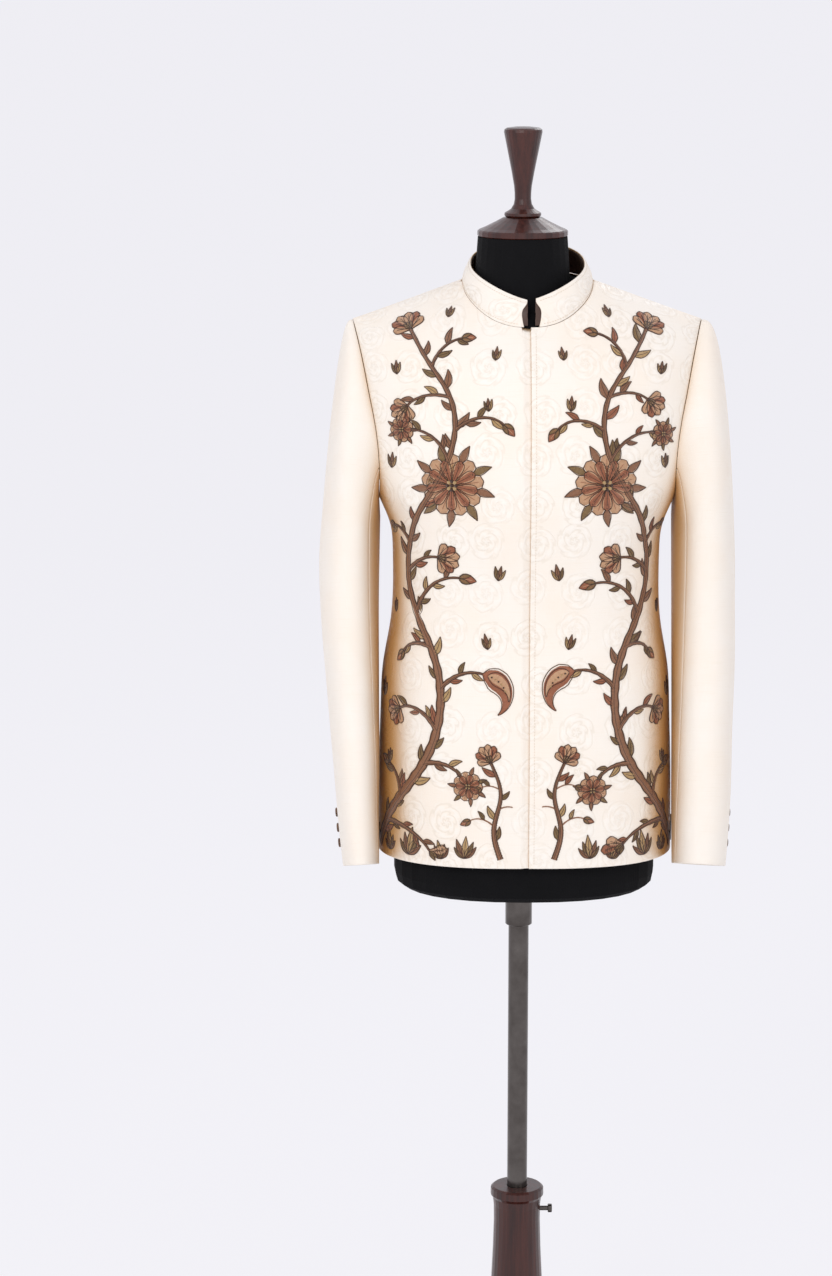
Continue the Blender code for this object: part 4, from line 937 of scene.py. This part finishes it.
# The cloth
front_left = front_panel("front_left_cloth", laps_over=True).build([FIGURED, LINING], "brocade")
front_right = front_panel("front_right_cloth", laps_over=False).mirrored("front_right_cloth")
front_right = front_right.build([FIGURED, LINING], "brocade")
back = back_panel()
back.name = "back_cloth"
back = back.build([FIGURED, LINING], "brocade")
band = collar_sheet("collar_cloth", 0.0, 1.0, 0.0, 0.0, WALL).build([FIGURED, FIGURED], "brocade")
inner_band = collar_sheet(
    "collar_lining_cloth", 0.05, 1 - LINING_TOP_DROP, WALL + SEAM_GAP, LINING_SHOWS, LINING_WALL
).build([LINING, LINING], "lining")
SLEEVES = {
    "left": Sleeve(VIEWER_RIGHT_SLEEVE, VIEWER_RIGHT_LEAN, 1),
    "right": Sleeve(VIEWER_LEFT_SLEEVE, VIEWER_LEFT_LEAN, -1),
}
PARTS = {
    "top": (TOP_SLEEVE_BACK, TOP_SLEEVE_FRONT),
    "under": (TOP_SLEEVE_FRONT, TOP_SLEEVE_BACK + 2 * pi),
}
for hand, sleeve in SLEEVES.items():
    for part, (start, end) in PARTS.items():
        name = f"sleeve_{hand}_{part}"
        strip = sleeve.strip(name + "_cloth", start, end)
        strip = strip if sleeve.side > 0 else strip.mirrored(strip.name)
        strip.build([PLAIN, LINING], "brocade")
        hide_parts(name)
for piece, node in (
    (front_left, "front_left"),
    (front_right, "front_right"),
    (back, "back"),
    (band, "collar"),
    (inner_band, "collar_lining"),
):
    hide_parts(node)


# Buttons
def lathe(profile, segments):
    """Vertices and quads of a shape turned about Z."""
    turns = 2 * pi * np.arange(segments) / segments
    rings = [np.stack([r * np.cos(turns), r * np.sin(turns), np.full(segments, z)], -1) for r, z in profile]
    number = np.arange(len(profile) * segments).reshape(len(profile), segments)
    after = np.roll(number, -1, axis=1)
    faces = np.stack([number[:-1], after[:-1], after[1:], number[1:]], -1).reshape(-1, 4)
    return np.concatenate(rings), faces


BUTTON_PROFILE = [
    (0.0001, 0.0),
    (0.0030, 0.0),
    (0.0050, 0.0009),
    (0.0056, 0.0016),
    (0.0057, 0.0021),
    (0.0055, 0.0028),
    (0.0050, 0.0032),
    (0.0044, 0.0033),
    (0.0039, 0.0031),
    (0.0034, 0.0026),
    (0.0024, 0.0024),
    (0.0001, 0.0024),
]
HOLE_PROFILE = [(0.0001, 0.0), (0.00045, 0.00004), (0.00052, -0.00002)]
HOLE_OFFSET = 0.00105


def capsule(start, end, radius, sides=6):
    """A thread from start to end that dips into the cloth at its ends."""
    axis = end - start
    length = np.linalg.norm(axis)
    axis = axis / length
    aside = unit(np.cross(axis, [0.3, 0.2, 1.0] if abs(axis[2]) < 0.9 else [1.0, 0.0, 0.0]))
    other = np.cross(axis, aside)
    turns = 2 * pi * np.arange(sides) / sides
    ring = np.cos(turns)[:, None] * aside + np.sin(turns)[:, None] * other
    levels = [(0.0, 0.25), (0.18, 0.85), (0.5, 1.0), (0.82, 0.85), (1.0, 0.25)]
    points = np.concatenate([start + axis * length * s + ring * radius * w for s, w in levels])
    number = np.arange(len(levels) * sides).reshape(len(levels), sides)
    after = np.roll(number, -1, axis=1)
    faces = np.stack([number[:-1], after[:-1], after[1:], number[1:]], -1).reshape(-1, 4)
    uv = np.repeat([[length * s, 0.0] for s, _ in levels], sides, axis=0)
    return points, faces, uv


class Joined:
    """Many small meshes gathered into one piece."""

    def __init__(self):
        self.points, self.faces, self.uv, self.kinds, self.count = [], [], [], [], 0

    def add(self, points, faces, uv=None, kind=0):
        self.points.append(points)
        self.faces.append(np.asarray(faces) + self.count)
        self.uv.append(np.zeros((len(points), 2)) if uv is None else uv)
        self.kinds.append(np.full(len(faces), kind))
        self.count += len(points)

    def build(self, name, materials, slot):
        return mesh_object(
            name,
            np.concatenate(self.points),
            np.concatenate(self.faces),
            materials,
            np.concatenate(self.kinds),
            np.concatenate(self.uv),
        )


HOLE_LEVEL = 0.00245
# The thread holes are not cut: a flat near-black disc sits at each one, painted shade standing in for the hole's depth
HOLE_SHADE_DISC = Nodes("button_hole_painted_shade", (0.006, 0.003, 0.002), 0.7).material
for hand, sleeve in SLEEVES.items():
    flip = np.array([sleeve.side, 1.0, 1.0])
    for k in range(BUTTON_COUNT):
        v = (BUTTON_TOP_Z - k * BUTTON_PITCH - sleeve.cuff_z) / (BICEPS_Z - sleeve.cuff_z)
        point = sleeve.surface(BUTTON_LINE, v) * flip + np.array([FIGURE_X, 0.0, 0.0])
        out = sleeve.normal(BUTTON_LINE, v) * flip
        turn = np.array(Vector(out).to_track_quat("Z", "Y").to_matrix())
        button = Joined()
        vertices, faces = lathe(BUTTON_PROFILE, 40)
        button.add(vertices + [0, 0, BUTTON_GAP], faces)
        corners = [(a, b) for a in (-1, 1) for b in (-1, 1)]
        holes = [np.array([a * HOLE_OFFSET, b * HOLE_OFFSET, HOLE_LEVEL + BUTTON_GAP]) for a, b in corners]
        for hole in holes:
            # A near-black disc of painted shade at each thread hole
            vertices, faces = lathe(HOLE_PROFILE, 12)
            button.add(vertices + hole, faces, kind=1)
        for a, b in ((0, 1), (2, 3)):
            for shift in (-0.00018, 0.00018):
                aside = np.array([shift, 0.0, 0.0002])
                button.add(*capsule(holes[a] + aside, holes[b] + aside, 0.00022), kind=2)
        button.points = [p @ turn.T + point for p in button.points]
        piece = button.build(f"button_{hand}_{k + 1}_horn", [HORN, HOLE_SHADE_DISC, SEWING], "button")
        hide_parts(f"button_{hand}_{k + 1}")


# Stitches
def stitch_run(joined, points, normals, pitch, share=0.68, radius=0.00021, lift=0.00012, kind=0):
    """Stitches of an even pitch along a line of points on the cloth."""
    length = run_lengths(points[None], 1)[0]
    count = int(length[-1] / pitch)
    for k in range(count):
        ends = [(k + 0.5 + d * share / 2) * pitch for d in (-1, 1)]
        at = [np.array([np.interp(s, length, points[:, i]) for i in range(3)]) for s in ends]
        out = np.array([np.interp(ends[0], length, normals[:, i]) for i in range(3)])
        joined.add(*capsule(at[0] + out * lift, at[1] + out * lift, radius), kind=kind)


def sewn(name, lines, pitch=0.0034):
    joined = Joined()
    for points, normals in lines:
        stitch_run(joined, points + np.array([FIGURE_X, 0.0, 0.0]), normals, pitch)
    return joined.build(name, [SEWING], "brocade")


def body_line(x_from_edge, t):
    points, normals, _ = lay_panel(u_at_x(x_from_edge, t), t)
    return points, normals


edge_t = np.linspace(0.005, NECK_FRONT_ROW - 0.004, 240)
front_stitches = sewn("front_edge_stitches", [body_line(CLOSING_X + 0.006, edge_t)])


def collar_line(height, inset):
    gap = half_gap(np.array(height))[0] + inset
    angle = np.linspace(
        float(angle_at_x(gap + NOTCH_CENTRE_X, height)),
        2 * pi - float(angle_at_x(gap - NOTCH_CENTRE_X, height)),
        400,
    )
    return collar(angle, height), collar_normal(angle, height)


collar_stitches = sewn("collar_stitches", [collar_line(0.88, 0.004), collar_line(0.10, 0.004)])

# Embroidery. It is drawn on the flat front, w metres from the middle and t from the hem, and laid on the cloth.
BROWN, DARK, COPPER, PETAL, OLIVE, GOLD = range(6)
THREADS = [
    thread("thread_brown", (0.190, 0.080, 0.038), (0.370, 0.175, 0.088)),
    thread("thread_dark", (0.026, 0.009, 0.004), (0.085, 0.031, 0.014)),
    thread("thread_copper", (0.250, 0.080, 0.036), (0.450, 0.165, 0.078)),
    thread("thread_petal", (0.460, 0.245, 0.130), (0.700, 0.430, 0.250)),
    thread("thread_olive", (0.140, 0.080, 0.028), (0.320, 0.195, 0.075)),
    thread("thread_gold", (0.400, 0.240, 0.095), (0.640, 0.430, 0.200)),
]
ROOT = -0.0004
FILL_HEIGHT = 0.0007
STEM_HEIGHT = 0.0011
LINE_HEIGHT = 0.0010
LINE_WIDTH = 0.0012
VEIN_WIDTH = 0.0009
VEIN_LIFT = 0.0003
BARK_LINE_WIDTH = 0.0015
EDGE_MARGIN = 0.006
CLOSING_MARGIN = 0.007

LEAF = [(0.0, 0.05), (0.14, 0.52), (0.35, 1.0), (0.6, 0.84), (0.82, 0.42), (1.0, 0.03)]
ROUND_PETAL = [(0.0, 0.20), (0.25, 0.50), (0.5, 0.86), (0.72, 1.0), (0.88, 0.84), (0.97, 0.48), (1.0, 0.10)]
BUD = [(0.0, 0.35), (0.2, 0.85), (0.42, 1.0), (0.7, 0.72), (0.9, 0.30), (1.0, 0.04)]
TEARDROP = [
    (0.0, 0.06), (0.07, 0.58), (0.2, 0.95), (0.33, 1.0), (0.5, 0.80), (0.7, 0.44), (0.88, 0.17), (1.0, 0.03),
]


class Front:
    """One front as the ground of the embroidery. side is 1 for the +X one."""

    def __init__(self, side):
        self.flip = np.array([side, 1.0, 1.0])
        self.rows = np.linspace(0.0, RIDGE - 0.004, 150)
        self.wide = np.linspace(0.0, 0.27, 91)
        u = np.linspace(0, 1, 61)
        lengths = widths_from_middle(*np.broadcast_arrays(u[None, :], self.rows[:, None]))
        self.columns = np.stack([np.interp(self.wide, one, u) for one in lengths])
        neck_u, neck_t = neckline_stops(front=True)
        first = np.where(self.rows <= NECK_FRONT_ROW, 0.0, np.interp(self.rows, neck_t, neck_u))
        last = u_at_armhole(self.rows)
        self.first = np.array([np.interp(a, u, one) for a, one in zip(first, lengths)])
        self.last = np.array([np.interp(a, u, one) for a, one in zip(last, lengths)])
        self.joined = Joined()

    def holds(self, flat):
        """Whether a drawn form lies wholly on the front, clear of its edges."""
        w, t = flat[:, 0], flat[:, 1]
        first = np.maximum(np.interp(t, self.rows, self.first), CLOSING_MARGIN + DIP_START_X - EDGE_MARGIN)
        last = np.interp(t, self.rows, self.last)
        return bool(
            np.all(
                (t > EDGE_MARGIN) & (t < self.rows[-1] - EDGE_MARGIN)
                & (w > first + EDGE_MARGIN) & (w < last - EDGE_MARGIN)
            )
        )

    def lay(self, flat, height):
        w, t = flat[:, 0], flat[:, 1]
        row = np.clip(np.interp(t, self.rows, np.arange(len(self.rows))), 0, len(self.rows) - 1.001)
        column = np.clip(np.interp(w, self.wide, np.arange(len(self.wide))), 0, len(self.wide) - 1.001)
        i, j = row.astype(int), column.astype(int)
        a, b = row - i, column - j
        c = self.columns
        u = (c[i, j] * (1 - a) + c[i + 1, j] * a) * (1 - b) + (c[i, j + 1] * (1 - a) + c[i + 1, j + 1] * a) * b
        points, normals = body(u, t), body_normal(u, t)
        lifted = points + normals * (creased(points * self.flip) + height)[:, None]
        return lifted * self.flip + np.array([FIGURE_X, 0.0, 0.0])

    def put(self, flat, height, faces, uv, kind):
        faces = np.asarray(faces)
        if self.flip[0] > 0:
            faces = faces[:, ::-1]
        self.joined.add(self.lay(flat, height), faces, uv, kind)

    def band(self, path, width, profile, kind):
        """A raised band along a flat path. profile is (share across, height) from one side to the other."""
        tangent = unit(np.gradient(path, axis=0))
        aside = np.stack([-tangent[:, 1], tangent[:, 0]], -1)
        width = np.broadcast_to(width, len(path))
        across = np.array([p[0] for p in profile])
        flat = path[:, None] + aside[:, None] * (width[:, None] / 2 * across)[..., None]
        height = np.broadcast_to([p[1] for p in profile], flat.shape[:2])
        length = np.concatenate([[0], np.cumsum(np.linalg.norm(np.diff(path, axis=0), axis=1))])
        uv = np.stack([np.broadcast_to(length[:, None], flat.shape[:2]), width[:, None] / 2 * across], -1)
        number = np.arange(flat.shape[0] * flat.shape[1]).reshape(flat.shape[:2])
        faces = np.stack([number[:-1, :-1], number[:-1, 1:], number[1:, 1:], number[1:, :-1]], -1).reshape(-1, 4)
        self.put(flat.reshape(-1, 2), height.reshape(-1), faces, uv.reshape(-1, 2), kind)

    def line(self, path, width=LINE_WIDTH, kind=DARK, height=LINE_HEIGHT):
        self.band(path, width, [(-1, ROOT), (-0.5, height * 0.85), (0.5, height * 0.85), (1, ROOT)], kind)

    def blade(self, base, heading, length, width, shape, kind, bend=0.0, edged=True, vein=None, lift=0.0, rows=10):
        """A leaf, petal or bud: a filled form along a bent midline, with its outline. It is left out off the front."""
        share = np.linspace(0, 1, rows)
        half = width / 2 * np.interp(share, [s for s, _ in shape], [w for _, w in shape])
        middle = bent(base, heading, length, bend, rows)
        tangent = unit(np.gradient(middle, axis=0))
        aside = np.stack([-tangent[:, 1], tangent[:, 0]], -1)
        edge = np.concatenate([middle + aside * half[:, None], (middle - aside * half[:, None])[::-1]])
        if not self.holds(edge):
            return
        top = FILL_HEIGHT + lift
        profile = [(-1, ROOT), (-0.55, top), (0, top * 0.55), (0.55, top), (1, ROOT)]
        self.band(middle, 2 * half, profile, kind)
        if edged:
            self.line(edge, height=LINE_HEIGHT + lift)
        if vein is not None:
            self.line(middle[: int(rows * 0.8)], VEIN_WIDTH, vein, top + VEIN_LIFT)

    def knot(self, centre, radius, kind, height=0.0013):
        turns = np.linspace(0, 2 * pi, 8, endpoint=False)
        ring = np.stack([np.cos(turns), np.sin(turns)], -1)
        flat = np.concatenate([centre + ring * radius * s for s in (1.0, 0.75, 0.08)])
        if not self.holds(flat):
            return
        level = np.repeat([ROOT, height * 0.75, height], 8)
        number = np.arange(24).reshape(3, 8)
        after = np.roll(number, -1, axis=1)
        faces = np.stack([number[:-1], after[:-1], after[1:], number[1:]], -1).reshape(-1, 4)
        self.put(flat, level, faces, flat - centre, kind)


def bent(base, heading, length, bend, count):
    """Points of a line that starts at base in the direction heading and turns by bend, more towards its end."""
    share = np.linspace(0, 1, count)
    angle = heading + bend * share**1.4
    step = np.stack([np.cos(angle), np.sin(angle)], -1) * length / (count - 1)
    middle = (step[:-1] + step[1:]) / 2
    return np.asarray(base, float) + np.concatenate([[[0.0, 0.0]], np.cumsum(middle, axis=0)])


def rosette(front, centre, radius, petals=8, turn=0.2):
    """A round flower of two rings of petals round a knotted middle, on a whorl of leaves."""
    for k in range(petals):
        angle = turn + 2 * pi * (k + 0.5) / petals
        base = centre + np.array([np.cos(angle), np.sin(angle)]) * radius * 0.70
        front.blade(base, angle, radius * 0.62, radius * 0.26, LEAF, OLIVE if k % 2 else BROWN, 0.25)
    for ring, (start, reach, kind) in enumerate(((0.30, 0.72, PETAL), (0.12, 0.55, COPPER))):
        for k in range(petals):
            angle = turn + 2 * pi * (k + 0.5 * ring) / petals
            base = centre + np.array([np.cos(angle), np.sin(angle)]) * radius * start
            wide = 2.0 * radius * (start + 0.55 * (reach - start) + 0.12) * sin(pi / petals)
            front.blade(
                base, angle, radius * (reach + 0.24 - start), wide, ROUND_PETAL, kind, 0.0, lift=0.0004 * ring,
                vein=COPPER if kind == PETAL else DARK,
            )
    for k in range(9):
        reach = 0.0 if k == 0 else radius * 0.13
        at = centre + reach * np.array([cos(2 * pi * k / 8), sin(2 * pi * k / 8)])
        front.knot(at, radius * 0.07, GOLD if k % 2 else DARK, 0.0022)


def fan(front, base, heading, size):
    """A flower seen from the side: petals spread from a leafy cup."""
    for spread, reach, kind in (
        (-1.05, 0.72, PETAL), (1.05, 0.72, PETAL), (-0.58, 0.92, COPPER),
        (0.58, 0.92, COPPER), (-0.18, 1.0, PETAL), (0.22, 1.0, PETAL),
    ):
        front.blade(
            base, heading + spread, size * reach, size * 0.42, ROUND_PETAL, kind, 0.25 * spread,
            vein=DARK, lift=0.0002,
        )
    for spread in (-0.5, 0.0, 0.5):
        front.blade(base, heading + spread, size * 0.42, size * 0.17, LEAF, OLIVE, -spread * 0.6, lift=0.0006)


def bud(front, base, heading, size):
    front.blade(base, heading, size, size * 0.62, BUD, COPPER, 0.15, vein=PETAL)
    for spread in (-0.55, 0.55):
        front.blade(base, heading + spread, size * 0.72, size * 0.30, LEAF, OLIVE, -spread, lift=0.0003)


def paisley(front, base, heading, size, turn):
    """A teardrop with a curled tip, one inside the other, and a row of knots."""
    front.blade(base, heading, size * 1.45, size * 0.62, TEARDROP, COPPER, 2.3 * turn, rows=26)
    inner = np.asarray(base) + 0.14 * size * np.array([cos(heading), sin(heading)])
    front.blade(inner, heading, size * 0.95, size * 0.36, TEARDROP, PETAL, 1.5 * turn, rows=20, lift=0.0005)
    line = bent(inner, heading + 0.08 * turn, size * 0.62, 0.9 * turn, 7)[1:]
    for k, at in enumerate(line):
        front.knot(at, size * 0.030, GOLD if k % 2 else DARK, 0.0022)


def sprig(front, base, heading, size, rng, leaves=5):
    """A tuft of leaves from one foot."""
    for k in range(leaves):
        spread = (k - (leaves - 1) / 2) * 0.48 + rng.uniform(-0.08, 0.08)
        reach = size * (1 - 0.16 * abs(k - (leaves - 1) / 2)) * rng.uniform(0.9, 1.1)
        kind = (OLIVE, BROWN, GOLD)[k % 3]
        front.blade(base, heading + spread, reach, reach * 0.30, LEAF, kind, -0.5 * spread, vein=DARK)


def leaves_along(front, path, start, gap, size, rng):
    """Leaves on both sides of a stem by turns."""
    length = np.concatenate([[0], np.cumsum(np.linalg.norm(np.diff(path, axis=0), axis=1))])
    tangent = unit(np.gradient(path, axis=0))
    place, side = start, 1
    while place < length[-1] - 0.3 * gap:
        k = int(np.searchsorted(length, place))
        heading = np.arctan2(tangent[k, 1], tangent[k, 0]) + side * rng.uniform(0.65, 1.0)
        long = size * rng.uniform(0.8, 1.15)
        kind = (OLIVE, BROWN, COPPER, GOLD)[rng.integers(4)]
        front.blade(path[k], heading, long, long * 0.38, LEAF, kind, -side * 0.55, vein=DARK)
        place, side = place + gap * rng.uniform(0.8, 1.2), -side


def stem(front, path, thick, thin):
    """A rough brown stem with dark edges that thins out along its path."""
    width = np.linspace(thick, thin, len(path)) * (1 + 0.10 * np.sin(np.arange(len(path)) * 0.9))
    if thick > 0.003:
        tangent = unit(np.gradient(path, axis=0))
        aside = np.stack([-tangent[:, 1], tangent[:, 0]], -1)
        top = STEM_HEIGHT
        profile = [(-1, ROOT), (-0.7, top * 0.8), (-0.25, top), (0.2, top * 0.8), (0.65, top * 0.9), (1, ROOT)]
        front.band(path, width, profile, BROWN)
        for side in (-1, 1):
            front.line(path + aside * (side * width / 2)[:, None], BARK_LINE_WIDTH, DARK)
        front.line(path + aside * (0.12 * width)[:, None], VEIN_WIDTH, DARK, top + VEIN_LIFT)
    else:
        front.line(path, np.maximum(width, 0.0011), BROWN)


def through(points, count):
    """A smooth path through flat points."""
    points = np.asarray(points, float)
    station = np.concatenate([[0], np.cumsum(np.linalg.norm(np.diff(points, axis=0), axis=1))])
    return spline(station, points)(np.linspace(0, station[-1], count))


Bough = namedtuple("Bough", "points thick thin leaf")
Branch = namedtuple("Branch", "share side length curl end size")
MAIN_BOUGH = Bough(
    [
        (0.218, 0.012), (0.182, 0.062), (0.138, 0.112), (0.108, 0.182), (0.116, 0.258), (0.148, 0.318),
        (0.156, 0.386), (0.128, 0.446), (0.094, 0.508), (0.092, 0.574), (0.120, 0.626), (0.142, 0.672),
    ],
    0.0125, 0.0036, 0.024,
)
MAIN_BRANCHES = [
    Branch(0.06, 1, 0.080, 1.0, "fan", 0.032),
    Branch(0.12, -1, 0.045, 1.2, "bud", 0.019),
    Branch(0.20, 1, 0.050, 1.2, "rosette", 0.019),
    Branch(0.26, -1, 0.066, 1.5, "fan", 0.026),
    Branch(0.33, 1, 0.062, 1.1, "paisley", 0.046),
    Branch(0.40, -1, 0.042, 1.2, "bud", 0.018),
    Branch(0.46, 1, 0.084, 1.3, "bud", 0.021),
    Branch(0.53, 1, 0.052, 0.9, "fan", 0.028),
    Branch(0.58, -1, 0.040, 1.0, "bud", 0.017),
    Branch(0.75, -1, 0.066, 1.2, "rosette", 0.017),
    Branch(0.80, 1, 0.062, 1.5, "bud", 0.019),
    Branch(0.86, -1, 0.054, 1.1, "fan", 0.026),
    Branch(0.92, 1, 0.055, 1.2, "bud", 0.017),
]
LOW_BOUGH = Bough([(0.032, 0.012), (0.040, 0.050), (0.032, 0.092), (0.044, 0.132)], 0.0060, 0.0024, 0.018)
LOW_BRANCHES = [
    Branch(0.34, -1, 0.030, 1.3, "bud", 0.014),
    Branch(0.52, 1, 0.018, 0.8, "bud", 0.014),
    Branch(0.72, -1, 0.026, 1.2, "bud", 0.013),
]
GREAT_FLOWER = (0.092, 0.470, 0.040)
Spray = namedtuple("Spray", "w t heading size")
HEM_SPRIGS = [
    Spray(0.076, 0.012, 1.62, 0.030), Spray(0.104, 0.010, 1.35, 0.022), Spray(0.152, 0.010, 1.75, 0.034),
    Spray(0.186, 0.010, 1.50, 0.024), Spray(0.238, 0.010, 1.60, 0.032),
]
SCATTERED = [
    Spray(0.048, 0.268, 1.40, 0.019), Spray(0.036, 0.352, 1.75, 0.020), Spray(0.204, 0.196, 1.60, 0.022),
    Spray(0.186, 0.300, 1.45, 0.018), Spray(0.048, 0.560, 1.50, 0.018), Spray(0.040, 0.622, 1.70, 0.016),
    Spray(0.174, 0.488, 1.70, 0.020), Spray(0.160, 0.612, 1.50, 0.018), Spray(0.188, 0.118, 1.65, 0.018),
    Spray(0.096, 0.680, 1.80, 0.016),
]


def grow(front, bough, branches, rng):
    path = through(bough.points, 260)
    length = np.concatenate([[0], np.cumsum(np.linalg.norm(np.diff(path, axis=0), axis=1))])
    tangent = unit(np.gradient(path, axis=0))
    ends = {"fan": fan, "bud": bud}
    for b in branches:
        k = int(b.share * (len(path) - 1))
        heading = np.arctan2(tangent[k, 1], tangent[k, 0]) + b.side * rng.uniform(0.75, 0.95)
        reach = b.length * rng.uniform(0.95, 1.08)
        twig = bent(path[k], heading, reach, b.side * b.curl, 40)
        if not front.holds(twig[6:]):
            continue
        stem(front, twig, 0.45 * bough.thick * (1.15 - 0.6 * b.share), 0.0016)
        leaves_along(front, twig, 0.014, 0.017, bough.leaf * 0.78, rng)
        tip = twig[-1]
        onward = heading + b.side * b.curl
        if b.end == "rosette":
            rosette(front, tip + b.size * 0.8 * np.array([cos(onward), sin(onward)]), b.size, 7, onward)
        elif b.end == "paisley":
            paisley(front, tip, onward, b.size, b.side)
        else:
            ends[b.end](front, tip, onward, b.size)
    leaves_along(front, path, 0.024, 0.025, bough.leaf, rng)
    stem(front, path, bough.thick, bough.thin)
    fan(front, path[-1], np.arctan2(tangent[-1, 1], tangent[-1, 0]), bough.leaf * 1.25)


def embroidered(side, seed):
    front, rng = Front(side), np.random.default_rng(seed)
    grow(front, MAIN_BOUGH, MAIN_BRANCHES, rng)
    grow(front, LOW_BOUGH, LOW_BRANCHES, rng)
    w, t, radius = GREAT_FLOWER
    rosette(front, np.array([w, t]), radius, 9)
    for s in HEM_SPRIGS:
        sprig(front, np.array([s.w, s.t]), s.heading, s.size, rng)
    for s in SCATTERED:
        sprig(front, np.array([s.w, s.t]), s.heading, s.size, rng, 3)
    name = "embroidery_left" if side > 0 else "embroidery_right"
    return front.joined.build(name, THREADS, "brocade")


embroidery_left, embroidery_right = embroidered(1, 11), embroidered(-1, 23)

# The fields of a record of what a piece of cloth was cut to
Cut = namedtuple("Cut", "piece width length area held rests_on with_pieces")


# Studio
def studio():
    floor = Nodes("studio_floor", (0.86, 0.855, 0.875), 0.9)
    floor.set("Specular IOR Level", 0.0)
    floor.set("Base Color", (0.22, 0.22, 0.22, 1.0))
    floor.set("Emission Color", (0.672, 0.666, 0.703, 1.0))
    floor.set("Emission Strength", 1.0)
    vertices, faces = lathe([(0.001, 0.0), (2.0, 0.0), (8.0, 0.0), (90.0, 0.0)], 64)
    ground = mesh_object("studio_floor", vertices, faces, [floor.material], body=None)
    world = bpy.context.scene.world or bpy.data.worlds.new("studio")
    bpy.context.scene.world = world
    world.use_nodes = True
    background = world.node_tree.nodes["Background"]
    background.inputs["Color"].default_value = (0.861, 0.853, 0.900, 1.0)
    background.inputs["Strength"].default_value = 1.0


Lamp = namedtuple("Lamp", "name x y z size watts colour")
LAMPS = [
    Lamp("key", -1.6, -3.9, 3.0, 1.3, 52, (1.0, 0.985, 0.96)),
    Lamp("fill", 2.2, -3.9, 2.0, 1.6, 17, (1.0, 0.98, 0.95)),
    Lamp("back", 1.2, 3.2, 3.6, 1.8, 16, (1.0, 1.0, 1.0)),
]
AIM = Vector((0.0, 0.0, 1.15))


def lit():
    for one in LAMPS:
        light = bpy.data.lights.new(one.name, "AREA")
        light.shape, light.size, light.energy, light.color = "DISK", one.size, one.watts, one.colour
        lamp = bpy.data.objects.new(one.name, light)
        bpy.context.scene.collection.objects.link(lamp)
        lamp.location = (one.x, one.y, one.z)
        lamp.rotation_mode = "QUATERNION"
        lamp.rotation_quaternion = (AIM - lamp.location).to_track_quat("-Z", "Y")
        lamp.visible_camera = False


def shot():
    camera = bpy.data.objects.new("camera", bpy.data.cameras.new("camera"))
    bpy.context.scene.collection.objects.link(camera)
    camera.data.lens, camera.data.sensor_width = 100, 36
    camera.data.clip_end = 300
    camera.location = (-0.127, -4.23, 1.90)
    camera.rotation_euler = (radians(90 - 11.49), 0.0, 0.0)
    bpy.context.scene.camera = camera


studio()
lit()
shot()
bpy.context.scene.view_settings.view_transform = "Standard"
